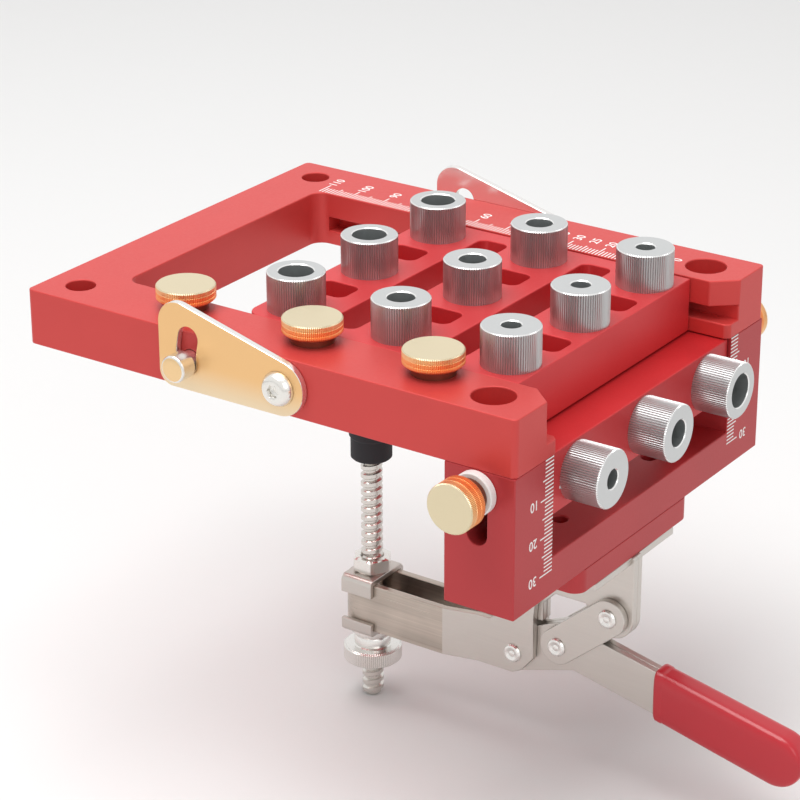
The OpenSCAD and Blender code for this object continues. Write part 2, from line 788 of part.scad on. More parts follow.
// Guide pin that runs in a side stop's slot
module stop_pin() {
  head_y = -stop_y - stop_t - stop_pin_gap;
  color("silver") union() {
    bar_y(stop_pin_x, stop_pivot_z, [head_y, stop_pin_depth - frame_half - slide_gap], stop_pin_d / 2);
    bar_y(stop_pin_x, stop_pivot_z, [head_y - stop_pin_head_h, head_y], stop_pin_head_d / 2);
  }
}

// Places along X of the screws in the clamp's flanges
function flange_screw_xs() = [flange_screw_x, flange_screw_x - flange_screw_step];

// Outline of a base ear, with the room between its two struts for the handle
module ear_outline() {
  strut_x = arm_base[0] + ear_strut_w;
  link_x = link_base[0] - base_link_eye_r;
  room_top = arm_base[1] + ear_room_rise;
  room_bottom = arm_base[1] - 2 * base_arm_eye_r;
  difference() {
    band(
      [
        arm_base,
        link_base,
        [link_base[0] + base_link_eye_r - ear_top_r, flange_top - ear_top_r],
        [ear_top_r, flange_top - ear_top_r]
      ],
      [base_arm_eye_r, base_link_eye_r, ear_top_r, ear_top_r]
    );
    polygon([
      [strut_x, room_bottom],
      [strut_x, arm_base[1] - ear_step[1]],
      [strut_x + ear_step[0], room_top],
      [link_x - ear_room_slope, room_top],
      [link_x, arm_base[1]],
      [link_x, room_bottom]
    ]);
  }
}

// Half of the clamp's base: an upright ear bent out into a flange on the near side
module clamp_base() {
  color("#bdb7ae") translate([0, clamp_y, 0]) difference() {
    union() {
      upright([-steel_t, 0]) ear_outline();
      slab([0, plate_d], [-flange_w / 2, 0], [flange_top - steel_t, flange_top]);
    }
    for (pivot = [arm_base, link_base])
      bar_y(pivot[0], pivot[1], [-steel_t - over, over], rivet_r + run_gap);
    for (x = flange_screw_xs())
      bar_z(x, -flange_screw_y, [flange_top - steel_t - over, flange_top + over],
        flange_screw_d / 2 + run_gap);
  }
}

// Mirror image of the children about the clamp's own mid-plane
module clamp_far() {
  translate([0, clamp_y, 0]) mirror([0, 1, 0]) translate([0, -clamp_y, 0]) children();
}

// Four screws that hold the clamp's flanges up against the spacer block
module flange_screws() {
  bottom = flange_top - steel_t - flange_screw_head_h;
  color("silver") for (side = [-1, 1], x = flange_screw_xs()) {
    y = clamp_y + side * flange_screw_y;
    bar_z(x, y, [bottom, flange_screw_bite - leg_h - slide_gap], flange_screw_d / 2);
    bar_z(x, y, [bottom, flange_top - steel_t], flange_screw_head_d / 2);
  }
}

// Rivet across the clamp, with a head outside each outer plate
module rivet(pivot) {
  color("silver") translate([0, clamp_y, 0]) {
    bar_y(pivot[0], pivot[1], [-cheek_y1 - rivet_head_h, cheek_y1 + rivet_head_h], rivet_r);
    for (side = [-1, 1]) scale([1, side, 1]) translate([pivot[0], cheek_y1 + layer_gap / 2, pivot[1]])
      rotate([-90, 0, 0])
        cylinder(h = rivet_head_h, d1 = rivet_head_d, d2 = rivet_top_share * rivet_head_d);
  }
}

// Side view of the clamp arm: the bar and the cheek that rises to the base pivot
module arm_outline() {
  rear_x = arm_base[0] - arm_eye_r;
  toe_x = handle_pivot[0];
  translate(arm_base) circle(r = arm_eye_r);
  polygon([
    [-arm_reach - over, arm_bottom],
    [toe_x, arm_bottom],
    [toe_x + cheek_toe[0], arm_bottom + cheek_toe[1]],
    [cheek_end_x, handle_pivot[1]],
    [cheek_end_x, arm_base[1] - arm_eye_r],
    [arm_base[0] + arm_eye_r, arm_base[1]],
    [rear_x, arm_base[1]],
    [rear_x, arm_base[1] - arm_eye_r],
    [rear_x - cheek_neck, arm_top],
    [-arm_reach - over, arm_top]
  ]);
}

// Plan of the clamp arm: one strip bent round its end and drawn in at the cheeks
module arm_plan() {
  difference() {
    arm_plan_side(strip_y1, cheek_y1, arm_base[0] + 2 * arm_eye_r);
    arm_plan_side(strip_y0, cheek_y0, arm_base[0] + 3 * arm_eye_r);
  }
}

// Plan of all that lies within one face of the strip, out to an open end
module arm_plan_side(strip_y, cheek_y, end_x) {
  translate([arm_bend_x, 0]) circle(r = strip_y);
  polygon([
    [arm_bend_x, -strip_y],
    [joggle_x0, -strip_y],
    [joggle_x1, -cheek_y],
    [end_x, -cheek_y],
    [end_x, cheek_y],
    [joggle_x1, cheek_y],
    [joggle_x0, strip_y],
    [arm_bend_x, strip_y]
  ]);
}

// Arm that swings on the base and holds the spindle
module clamp_arm() {
  depth = arm_base[1] + arm_eye_r - arm_bottom;
  color("#bdb7ae") translate([0, clamp_y, 0]) difference() {
    intersection() {
      upright([-strip_y1 - over, strip_y1 + over]) arm_outline();
      translate([0, 0, arm_bottom - over]) linear_extrude(depth + 2 * over) arm_plan();
    }
    for (pivot = [arm_base, handle_pivot])
      bar_y(pivot[0], pivot[1], [-strip_y1 - over, strip_y1 + over], rivet_r + run_gap);
  }
}

// Side view of a handle plate, from its round end to the end of the lever inside the grip
module handle_outline() {
  lever_end = lever_corner + lever_l * lever_dir;
  band(
    [handle_pivot, heel_centre, corner_centre],
    [handle_end_r, handle_corner_r, handle_corner_r]
  );
  polygon([
    heel_centre - handle_corner_r * lever_normal,
    lever_end - lever_depth * lever_normal,
    lever_end,
    corner_centre + handle_corner_r * lever_normal
  ]);
}

// Near one of the two plates that make up the handle
module handle_plate() {
  color("#bdb7ae") translate([0, clamp_y, 0]) difference() {
    upright([-steel_t, 0]) handle_outline();
    bar_y(handle_pivot[0], handle_pivot[1], [-steel_t - over, over], rivet_r + run_gap);
    bar_y(link_top[0], link_top[1], [-steel_t - over, over], open_hole_r);
  }
}

// Dipped grip over the end of the lever
module handle_grip() {
  mid = lever_corner - lever_depth / 2 * lever_normal;
  color("#d81e2c") translate([mid[0], clamp_y, mid[1]]) rotate([0, lever_slope, 0]) difference() {
    intersection() {
      upright([-grip_w, grip_w]) union() {
        translate([grip_start, -grip_h / 2]) square([grip_l - grip_h / 2, grip_h]);
        translate([grip_start + grip_l - grip_h / 2, 0]) circle(r = grip_h / 2);
      }
      translate([grip_start - over, 0, 0]) rotate([90, 0, 90]) linear_extrude(grip_l + 2 * over)
        rounded([-grip_w / 2, grip_w / 2], [-grip_h / 2, grip_h / 2], grip_edge_r);
    }
    slab([grip_start - over, lever_l], [-steel_t, steel_t], [-lever_depth / 2, lever_depth / 2]);
  }
}

// Near one of the two links between the handle and the base
module link_plate() {
  color("#bdb7ae") translate([0, clamp_y, 0]) difference() {
    upright([-cheek_y1, -cheek_y0]) band([link_top, link_base], [link_r, link_r]);
    for (pivot = [link_top, link_base])
      bar_y(pivot[0], pivot[1], [-cheek_y1 - over, over], rivet_r + run_gap);
  }
}

// Flanged washer that straddles the arm, with its plate from one height to another
module saddle(plate, lip) {
  x = [-spindle_back - saddle_l / 2, -spindle_back + saddle_l / 2];
  color("#c9c4bb") translate([0, clamp_y, 0]) difference() {
    union() {
      slab(x, [-saddle_y - saddle_lip_t, saddle_y + saddle_lip_t], plate);
      for (side = [-1, 1]) scale([1, side, 1]) slab(x, [saddle_y, saddle_y + saddle_lip_t], lip);
    }
    bar_z(-spindle_back, 0, [plate[0] - over, plate[1] + over], spindle_d / 2 + slide_gap);
  }
}

// Flanged washer on top of the arm
module saddle_upper() {
  saddle([arm_top, saddle_top], [arm_top - saddle_lip, saddle_top]);
}

// Flanged washer under the arm
module saddle_lower() {
  saddle([saddle_bottom, arm_bottom], [saddle_bottom, arm_bottom + saddle_low_lip]);
}

// Plain ring between the lower flanged washer and the knurled nut
module spindle_ring() {
  color("silver") difference() {
    bar_z(-spindle_back, clamp_y, [ring_bottom, saddle_bottom], ring_d / 2);
    bar_z(-spindle_back, clamp_y, [ring_bottom - over, saddle_bottom + over],
      spindle_d / 2 + slide_gap);
  }
}

// Hexagon nut on the upper flanged washer
module hex_nut() {
  color("silver") difference() {
    translate([-spindle_back, clamp_y, saddle_top])
      cylinder(h = hex_nut_h, d = hex_nut_w / cos(30), $fn = 6);
    bar_z(-spindle_back, clamp_y, [saddle_top - over, saddle_top + hex_nut_h + over],
      spindle_d / 2 + run_gap);
  }
}

// Knurled nut under the ring, with its collar
module knurled_nut() {
  r = knurl_nut_d / 2;
  bore_r = spindle_d / 2 + run_gap;
  color("silver") translate([-spindle_back, clamp_y, 0]) rotate_extrude() polygon([
    [bore_r, knurl_bottom],
    [r - knob_bevel, knurl_bottom],
    [r, knurl_bottom + knob_bevel],
    [r, knurl_top - knob_bevel],
    [r - knob_bevel, knurl_top],
    [knurl_collar_d / 2, knurl_top],
    [knurl_collar_d / 2, ring_bottom],
    [bore_r, ring_bottom]
  ]);
}

// Threaded rod, drawn at its outer diameter
module spindle_rod() {
  color("#b8b2a8")
    bar_z(-spindle_back, clamp_y, [spindle_end, rod_top], spindle_d / 2);
}

// Rubber cap that presses on the board
module spindle_cap() {
  color("#303030") difference() {
    bar_z(-spindle_back, clamp_y, [cap_bottom, -board_t], cap_d / 2);
    bar_z(-spindle_back, clamp_y, [cap_bottom - over, rod_top], spindle_d / 2 + run_gap);
  }
}

top_frame();
front_plate();
clamp_block();
frame_screws();
block_screws();
stop_screw();  // stop_screw_near
far_side() stop_screw();  // stop_screw_far
stop_pin();  // stop_pin_near
far_side() stop_pin();  // stop_pin_far
side_stop();  // side_stop_near
far_side() side_stop();  // side_stop_far
carriage();
bushing_row(0);  // bushings_small
bushing_row(1);  // bushings_middle
bushing_row(2);  // bushings_large
drill_block();
edge_bushing(-1, bore_small);  // edge_bushing_small
edge_bushing(0, bore_middle);  // edge_bushing_middle
edge_bushing(1, bore_large);  // edge_bushing_large
lock_washer();  // lock_washer_near
far_side() lock_washer();  // lock_washer_far
lock_knob();  // lock_knob_near
far_side() lock_knob();  // lock_knob_far
rail_knob(0);  // rail_knob_rear
rail_knob(1);  // rail_knob_middle
rail_knob(2);  // rail_knob_front
clamp_base();  // clamp_base_near
clamp_far() clamp_base();  // clamp_base_far
flange_screws();
rivet(arm_base);  // arm_pivot_rivet
rivet(link_base);  // link_pivot_rivet
clamp_arm();
rivet(handle_pivot);  // handle_pivot_rivet
handle_plate();  // handle_plate_near
clamp_far() handle_plate();  // handle_plate_far
handle_grip();
link_plate();  // link_plate_near
clamp_far() link_plate();  // link_plate_far
rivet(link_top);  // link_handle_rivet
saddle_upper();
saddle_lower();
spindle_ring();
hex_nut();
knurled_nut();
spindle_rod();
spindle_cap();
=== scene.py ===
"""Looks of a drilling jig that clamps on a board's edge: finishes, turned pieces, rules and studio."""

import json
import logging
import math
from dataclasses import dataclass
from enum import Enum
from functools import partial
from typing import Callable, Dict, List, Optional, Sequence, Tuple, Union

import bmesh
import bpy
from mathutils import Matrix, Vector

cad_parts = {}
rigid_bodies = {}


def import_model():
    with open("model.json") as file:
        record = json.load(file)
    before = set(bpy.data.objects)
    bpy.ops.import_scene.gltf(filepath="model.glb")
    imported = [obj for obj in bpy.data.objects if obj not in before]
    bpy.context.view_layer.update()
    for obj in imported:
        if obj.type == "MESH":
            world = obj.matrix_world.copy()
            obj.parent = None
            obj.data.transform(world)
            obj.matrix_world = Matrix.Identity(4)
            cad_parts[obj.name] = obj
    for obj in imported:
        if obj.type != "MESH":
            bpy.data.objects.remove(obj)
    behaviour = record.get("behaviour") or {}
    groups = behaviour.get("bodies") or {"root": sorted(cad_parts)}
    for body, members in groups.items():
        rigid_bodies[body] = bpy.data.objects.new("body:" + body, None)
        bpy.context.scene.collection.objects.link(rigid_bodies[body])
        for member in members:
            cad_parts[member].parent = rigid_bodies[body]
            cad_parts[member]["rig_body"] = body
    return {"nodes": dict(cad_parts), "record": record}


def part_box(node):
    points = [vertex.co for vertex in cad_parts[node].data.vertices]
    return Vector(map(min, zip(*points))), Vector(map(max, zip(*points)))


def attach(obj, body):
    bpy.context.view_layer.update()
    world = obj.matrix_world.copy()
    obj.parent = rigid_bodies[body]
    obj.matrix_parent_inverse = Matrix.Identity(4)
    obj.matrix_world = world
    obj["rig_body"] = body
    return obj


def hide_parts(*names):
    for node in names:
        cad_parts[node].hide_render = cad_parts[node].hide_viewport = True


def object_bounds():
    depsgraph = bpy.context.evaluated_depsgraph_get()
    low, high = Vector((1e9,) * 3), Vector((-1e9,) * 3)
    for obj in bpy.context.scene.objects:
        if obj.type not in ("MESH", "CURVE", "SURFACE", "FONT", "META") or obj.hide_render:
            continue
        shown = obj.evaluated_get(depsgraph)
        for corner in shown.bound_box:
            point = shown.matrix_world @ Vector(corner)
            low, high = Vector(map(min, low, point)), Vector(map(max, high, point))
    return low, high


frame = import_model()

LOG = logging.getLogger("jig")
MM = 0.001
# Box of the CAD alone, before any piece is made
CAD_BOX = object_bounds()
# Distance in metres within which vertices are joined
WELD = 1e-6
# Distances in metres and in mm within which two places count as the same
NEAR_ENOUGH = 1e-5
HAIR = 0.01

Mesh, Edge, Face = bmesh.types.BMesh, bmesh.types.BMEdge, bmesh.types.BMFace
Triple = Tuple[float, float, float]
Profile = Tuple[Tuple[float, float], ...]
Loop = Callable[[int, int], Vector]


class Slot(Enum):
    """Material slots of the pieces that replace no CAD node."""

    NYLON = "white_nylon"


class Form(Enum):
    """Outline of one ring of a turned piece."""

    ROUND = "round"
    FLUTED = "fluted"
    HEXAGON = "hexagon"


class Axis(Enum):
    """Way in which a turned piece's outer face looks."""

    FRONT = (1.0, 0.0, 0.0)
    NEAR = (0.0, -1.0, 0.0)
    FAR = (0.0, 1.0, 0.0)
    UP = (0.0, 0.0, 1.0)
    DOWN = (0.0, 0.0, -1.0)


class Value:
    """A shader socket on which sums, differences and products add Math nodes."""

    def __init__(self, graph: "Graph", socket: bpy.types.NodeSocket) -> None:
        """Keeps the socket and the graph that it belongs to."""
        self.graph = graph
        self.socket = socket

    def _math(self, operation: str, first: "Number", second: "Number") -> "Value":
        """Adds one Math node.

        Args:
            operation: Name of the node's operation.
            first: Upper value or link.
            second: Lower value or link.

        Returns:
            The node's result.
        """
        node = self.graph.node("ShaderNodeMath", {"operation": operation}, {0: first, 1: second})
        return Value(self.graph, node.outputs[0])

    def __add__(self, other: "Number") -> "Value":
        """Sum of the two."""
        return self._math("ADD", self, other)

    def __sub__(self, other: "Number") -> "Value":
        """Difference of the two."""
        return self._math("SUBTRACT", self, other)

    def __rsub__(self, other: "Number") -> "Value":
        """Difference with this one taken away."""
        return self._math("SUBTRACT", other, self)

    def __mul__(self, other: "Number") -> "Value":
        """Product of the two."""
        return self._math("MULTIPLY", self, other)

    def above(self, level: float) -> "Value":
        """One where this is over the level, and otherwise nought."""
        return self._math("GREATER_THAN", self, level)

    __radd__ = __add__
    __rmul__ = __mul__


Number = Union[float, Value]


class Graph:
    """Node tree of one material or of the world."""

    def __init__(self, tree: bpy.types.NodeTree) -> None:
        """Empties the tree."""
        self.tree = tree
        tree.nodes.clear()

    def node(self, kind: str, settings: Dict, inputs: Dict) -> bpy.types.Node:
        """Adds a node of any type.

        Args:
            kind: Node type.
            settings: Its settings by name.
            inputs: Values or links by socket name or number.

        Returns:
            The new node.
        """
        made = self.tree.nodes.new(kind)
        for key, setting in settings.items():
            setattr(made, key, setting)
        for key, given in inputs.items():
            if isinstance(given, Value):
                self.tree.links.new(given.socket, made.inputs[key])
            else:
                made.inputs[key].default_value = given
        return made

    def value(self, kind: str, settings: Dict, inputs: Dict, output: Union[int, str] = 0) -> Value:
        """Adds a node and returns one of its outputs as a value."""
        return Value(self, self.node(kind, settings, inputs).outputs[output])

    def noise(self, grain: float, detail: float, stretch: Triple = (1.0, 1.0, 1.0)) -> Value:
        """Noise on Object coordinates.

        Args:
            grain: Size of its blots in mm.
            detail: Number of finer layers.
            stretch: Factors on its frequency along X, Y and Z.

        Returns:
            Values about one half.
        """
        place = self.value("ShaderNodeTexCoord", {}, {}, "Object")
        along = self.value("ShaderNodeMapping", {}, {"Vector": place, "Scale": stretch})
        return self.value(
            "ShaderNodeTexNoise", {}, {"Vector": along, "Scale": 1 / (grain * MM), "Detail": detail}
        )


Colour = Triple
# Shares of slow and fine noise in a plain tone, and of slow, fine and coarse noise in a sheet's
TONE_SHARES = (0.6, 0.8)
SHEET_SHARES = (0.4, 0.5, 0.5)
# How many times coarser than the grain the gloss and the long streaks are
COARSER = 4


@dataclass(frozen=True)
class Finish:
    """Surface whose brightness, gloss and fine relief drift as the real one's do."""

    name: str
    colour: Colour
    metallic: float
    roughness: float
    grain: float = 0.16
    relief: float = 0.004
    blot: float = 9.0
    drift: float = 0.05
    gloss_drift: float = 0.08
    stretch: Triple = (1.0, 1.0, 1.0)
    coat: float = 0.0
    specular: float = 0.5

    def _tone(self, graph: Graph, mask: Value, shade: float) -> Value:
        """Colour that goes from a darker shade to the written one.

        Args:
            graph: The material's nodes.
            mask: Where it is light, from 0 to 1.
            shade: Share of the colour left in the dark.

        Returns:
            The colour.
        """
        dark = tuple(channel * shade for channel in self.colour) + (1.0,)
        light = self.colour + (1.0,)
        return graph.value("ShaderNodeMix", {"data_type": "RGBA"}, {0: mask, 6: dark, 7: light}, 2)

    def mask(self, graph: Graph) -> Value:
        """Slow drift of the tone, with some of the fine grain in it.

        Args:
            graph: The material's nodes.

        Returns:
            Where the tone is light, from 0 to 1.
        """
        slow = graph.noise(self.blot, 2.0)
        fine = graph.noise(self.grain, 1.0, self.stretch)
        slow_share, fine_share = TONE_SHARES
        return slow * slow_share + fine * fine_share

    def height(self, graph: Graph) -> Value:
        """Fine relief of the surface, from 0 to 1."""
        return graph.noise(self.grain, 2.0, self.stretch)

    def material(self) -> bpy.types.Material:
        """Makes the material, or finds it where it is made already.

        Returns:
            The material.
        """
        made = bpy.data.materials.get(self.name)
        if made:
            return made
        made = bpy.data.materials.new(self.name)
        made.use_nodes = True
        graph = Graph(made.node_tree)
        relief = graph.value(
            "ShaderNodeBump", {}, {"Height": self.height(graph), "Distance": self.relief * MM}
        )
        gloss = graph.noise(self.grain * COARSER, 2.0, self.stretch)
        shader = graph.value(
            "ShaderNodeBsdfPrincipled",
            {},
            {
                "Base Color": self._tone(graph, self.mask(graph), 1 - 2 * self.drift),
                "Metallic": self.metallic,
                "Roughness": gloss * (2 * self.gloss_drift) + (self.roughness - self.gloss_drift),
                "Normal": relief,
                "Coat Weight": self.coat,
                "Specular IOR Level": self.specular,
            },
        )
        graph.node("ShaderNodeOutputMaterial", {}, {"Surface": shader})
        return made


@dataclass(frozen=True)
class Brushed(Finish):
    """Rolled or ground sheet with streaks that run one way."""

    streak: float = 0.25

    def mask(self, graph: Graph) -> Value:
        """Streaks of different lengths laid over the slow drift.

        Args:
            graph: The material's nodes.

        Returns:
            Where the tone is light, from 0 to 1.
        """
        slow = graph.noise(self.blot, 2.0)
        fine = graph.noise(self.streak, 3.0, self.stretch)
        coarse = graph.noise(self.streak * COARSER, 2.0, self.stretch)
        slow_share, fine_share, coarse_share = SHEET_SHARES
        return slow * slow_share + fine * fine_share + coarse * coarse_share

    def height(self, graph: Graph) -> Value:
        """Relief of the streaks."""
        return graph.noise(self.streak, 3.0, self.stretch)


@dataclass(frozen=True)
class Faded(Brushed):
    """Sheet whose tone goes from one colour below to another above, a painted reflection that changes with
    height.
    """

    other: Colour = (1.0, 1.0, 1.0)
    low: float = 0.0
    high: float = 0.01

    def _tone(self, graph: Graph, mask: Value, shade: float) -> Value:
        """Painted reflection: fade by height from the drifting tone below to the other colour above.

        Args:
            graph: The material's nodes.
            mask: Where the tone is light, from 0 to 1.
            shade: Share of the lower colour left in the dark.

        Returns:
            The colour.
        """
        place = graph.value("ShaderNodeTexCoord", {}, {}, "Object")
        height = graph.value("ShaderNodeSeparateXYZ", {}, {"Vector": place}, "Z")
        share = graph.value(
            "ShaderNodeMapRange", {"interpolation_type": "SMOOTHSTEP"},
            {"Value": height, "From Min": self.low, "From Max": self.high},
        )
        below = super()._tone(graph, mask, shade)
        above = self.other + (1.0,)
        return graph.value("ShaderNodeMix", {"data_type": "RGBA"}, {0: share, 6: below, 7: above}, 2)


@dataclass(frozen=True)
class Turned(Finish):
    """Bright turned metal, even and smooth."""

    grain: float = 0.5
    relief: float = 0.0003
    drift: float = 0.02
    gloss_drift: float = 0.02


ALONG_X: Triple = (0.02, 1.0, 1.0)

FRAME_RED = Finish("anodised_red_frame", (0.64, 0.06, 0.055), 0.25, 0.4, specular=0.4)
PLATE_RED = Finish("anodised_red_plate", (0.48, 0.04, 0.045), 0.25, 0.4, specular=0.4)
CARRIAGE_RED = Finish("anodised_red_carriage", (0.68, 0.045, 0.05), 0.25, 0.4, specular=0.4)
BLOCK_RED = Finish("anodised_red_block", (0.6, 0.03, 0.035), 0.25, 0.38, specular=0.35)
BUSHING = Turned("fluted_grey", (0.5, 0.5, 0.5), 0.85, 0.3, gloss_drift=0.01)
BUSHING_FACE = Turned("turned_face", (0.6, 0.61, 0.61), 0.85, 0.3, gloss_drift=0.01)
# Bevels of the bushings' heads and bores: bright painted highlight
RIM_HIGHLIGHT = Turned("rim_painted_highlight", (0.86, 0.86, 0.85), 0.9, 0.2, 0.4, gloss_drift=0.01)
BORE = Finish("reamed_bore", (0.34, 0.36, 0.36), 0.6, 0.4, 0.4, 0.0005, drift=0.03)
GOLD = Turned("gold_knurl", (0.95, 0.42, 0.16), 0.75, 0.3, drift=0.03)
TAN = Turned("tan_knurl", (0.9, 0.56, 0.28), 0.75, 0.3, drift=0.03)
# Knobs' end faces: the gold paled by a painted reflection of the white sky
SKY_SHEEN_FACE = Turned(
    "face_painted_sky_sheen", (0.72, 0.62, 0.42), 0.7, 0.3, 2.0, 0.0002, drift=0.01, gloss_drift=0.01
)
# Dark brown on the knobs' necks, studs, collars and screws: painted shade under the knurled discs
SHADED_NECK = Finish("neck_painted_shade", (0.2, 0.07, 0.04), 0.7, 0.35, grain=0.5, relief=0.001)
# Side stops: warm zinc below, fading to gold above; the fade is a painted reflection
ZINC_WITH_REFLECTION = Faded(
    "zinc_painted_reflection", (0.82, 0.66, 0.45), 0.8, 0.32, 0.3, 0.0005, drift=0.02, gloss_drift=0.02, stretch=ALONG_X,
    other=(0.84, 0.52, 0.24), low=0.0, high=0.009,
)
PIN_FACE = Turned("warm_pin", (0.86, 0.6, 0.32), 0.8, 0.3)
# Side stops' edge faces: a bright painted highlight on the sheet's thickness
STOP_EDGE_HIGHLIGHT = Turned("plate_edge_painted_highlight", (0.85, 0.83, 0.81), 0.9, 0.2)
PIN_ZINC = Turned("bright_zinc", (0.8, 0.78, 0.74), 0.9, 0.2, 0.4, drift=0.03)
NICKEL = Brushed(
    "satin_nickel", (0.6, 0.56, 0.52), 0.9, 0.3, 0.16, 0.001, drift=0.05, gloss_drift=0.04, stretch=ALONG_X
)
STREAKED = Brushed(
    "streaked_nickel", (0.6, 0.53, 0.46), 0.9, 0.3, 0.16, 0.002, drift=0.32, gloss_drift=0.06,
    stretch=ALONG_X, streak=0.5,
)
NUT_NICKEL = Turned(
    "turned_nickel", (0.8, 0.78, 0.75), 0.9, 0.22, relief=0.0005, drift=0.03, gloss_drift=0.03
)
STEEL = Finish("plain_steel", (0.68, 0.65, 0.61), 0.9, 0.26, 0.3, 0.001, drift=0.04, gloss_drift=0.04)
NYLON = Finish("white_nylon", (0.86, 0.84, 0.82), 0.0, 0.5, grain=0.4, relief=0.001, drift=0.02)
VINYL = Finish(
    "dipped_vinyl", (0.52, 0.008, 0.02), 0.0, 0.28, 6.0, 0.001, drift=0.03, gloss_drift=0.02, coat=0.25
)
RUBBER = Finish("black_rubber", (0.025, 0.025, 0.028), 0.0, 0.6, grain=0.3, relief=0.004)
INK = Finish("white_marking", (0.93, 0.9, 0.88), 0.0, 0.6, grain=0.2, relief=0.001, drift=0.03)


def nodes_body(node: str) -> str:
    """Body that a CAD node rides on."""
    return frame["nodes"][node]["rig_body"]


def nodes_slot(node: str) -> str:
    """Material slot that the record gives a CAD node."""
    return next(row["material_slot"] for row in frame["record"]["subparts"] if row["node"] == node)


# Angle of a real corner, and of a bend that counts where a wide flat meets a narrow face
SHARP = math.radians(32)
CREASE = math.radians(0.5)
# Times that the wide flat is larger, and the least area in square metres
AREA_STEP = 6.0
TINY_AREA = 1e-12


def mark_edges(bm: Mesh) -> None:
    """Shades faces smooth but for real corners and the ends of wide flats.

    Args:
        bm: Mesh that is changed.
    """
    for face in bm.faces:
        face.smooth = True
    for edge in bm.edges:
        if len(edge.link_faces) != 2:
            continue
        angle = edge.calc_face_angle(0.0)
        areas = sorted(face.calc_area() for face in edge.link_faces)
        wide = areas[1] > AREA_STEP * max(areas[0], TINY_AREA)
        edge.smooth = not (angle > SHARP or (angle > CREASE and wide))


def in_scene(name: str, data: bpy.types.ID) -> bpy.types.Object:
    """Puts a new object in the scene.

    Args:
        name: Its name.
        data: Its mesh, curve, light or camera.

    Returns:
        The object.
    """
    made = bpy.data.objects.new(name, data)
    bpy.context.scene.collection.objects.link(made)
    return made


def new_piece(
    name: str,
    bm: Mesh,
    finishes: Sequence[Finish],
    *nodes: str,
    body: Optional[str] = None,
    slot: Optional[Slot] = None,
) -> bpy.types.Object:
    """Turns a finished mesh into a piece that stands for its CAD nodes.

    Args:
        name: Name of the piece.
        bm: Its mesh in metres, in place.
        finishes: Its finishes, by material index.
        nodes: CAD nodes that it replaces.
        body: Body that it rides on, if it replaces none.
        slot: Material slot, if it replaces none; it is not used.

    Returns:
        The new object.
    """
    bmesh.ops.recalc_face_normals(bm, faces=bm.faces)
    mark_edges(bm)
    mesh = bpy.data.meshes.new(name)
    bm.to_mesh(mesh)
    bm.free()
    for finish in finishes:
        mesh.materials.append(finish.material())
    piece = in_scene(name, mesh)
    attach(piece, body or nodes_body(nodes[0]))
    if nodes:
        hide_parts(*nodes)
    slot.value if slot else nodes_slot(nodes[0])
    LOG.info("%s: %d faces", name, len(mesh.polygons))
    return piece


def solids(node: str) -> List[Tuple[Vector, Vector]]:
    """Boxes of the separate solids of a CAD node, in metres.

    Args:
        node: Name of the CAD node.

    Returns:
        Lowest and highest corner of each solid.
    """
    bm = bmesh.new()
    bm.from_mesh(frame["nodes"][node].data)
    bmesh.ops.remove_doubles(bm, verts=bm.verts, dist=WELD)
    seen, boxes = set(), []
    for start in bm.verts:
        if start in seen:
            continue
        seen.add(start)
        group, stack = [], [start]
        while stack:
            vert = stack.pop()
            group.append(vert.co)
            for edge in vert.link_edges:
                other = edge.other_vert(vert)
                if other not in seen:
                    seen.add(other)
                    stack.append(other)
        low = Vector(min(co[i] for co in group) for i in range(3))
        high = Vector(max(co[i] for co in group) for i in range(3))
        boxes.append((low, high))
    bm.free()
    return boxes


@dataclass(frozen=True)
class Ring:
    """One ring of a turned piece: its radius, or half its width across flats, and its height."""

    radius: float
    height: float
    form: Form = Form.ROUND


@dataclass(frozen=True)
class Seat:
    """Where a turned piece stands: its outer face's centre, its axis and its length."""

    face: Vector
    axis: Axis
    length: float

    def matrix(self) -> Matrix:
        """Takes a shape in mm, with its outer face at height 0, to its place in metres."""
        turn = Vector((0, 0, 1)).rotation_difference(Vector(self.axis.value)).to_matrix().to_4x4()
        return Matrix.Translation(self.face) @ turn @ Matrix.Scale(MM, 4)


def seats(node: str, axis: Axis) -> List[Seat]:
    """Seats of the separate solids of a CAD node.

    Args:
        node: Name of the CAD node.
        axis: Way in which their outer faces look.

    Returns:
        One seat for each solid, with the length in mm.
    """
    found = []
    way = Vector(axis.value)
    for low, high in solids(node):
        middle, half = (low + high) / 2, (high - low) / 2
        reach = abs(half.dot(way))
        found.append(Seat(middle + way * reach, axis, 2 * reach / MM))
    return found


# Vertices to each flute or knurl, of which the last is its groove
FLUTE_STEPS = 3
# Chamfer of shanks, collars and mouths in mm
CHAMFER = 0.3


@dataclass(frozen=True)
class Lathe:
    """Turns rings into a mesh."""

    steps: int
    flute_depth: float = 0.0

    def _place(self, ring: Ring, index: int, count: int) -> Vector:
        """Places one vertex of a ring.

        Args:
            ring: The ring.
            index: The vertex's number.
            count: Number of vertices in the ring.

        Returns:
            The vertex in mm.
        """
        sector = math.pi / 3
        angle = 2 * math.pi * index / count
        radius = ring.radius
        if ring.form is Form.FLUTED and index % FLUTE_STEPS == FLUTE_STEPS - 1:
            radius -= self.flute_depth
        if ring.form is Form.HEXAGON:
            radius /= math.cos(angle % sector - sector / 2)
        return Vector((radius * math.cos(angle), radius * math.sin(angle), ring.height))

    def turn(self, bm: Mesh, rings: Sequence[Ring], seat: Seat, hollow: bool) -> List:
        """Adds one turned piece.

        Args:
            bm: Mesh that takes the piece.
            rings: Rings from one end to the other, and back through the bore if it has one.
            seat: Where the piece stands.
            hollow: Whether the last ring joins the first, round a bore.

        Returns:
            The new faces.
        """
        loops = [partial(self._place, ring) for ring in rings]
        return loft(bm, loops, self.steps, seat.matrix(), hollow)


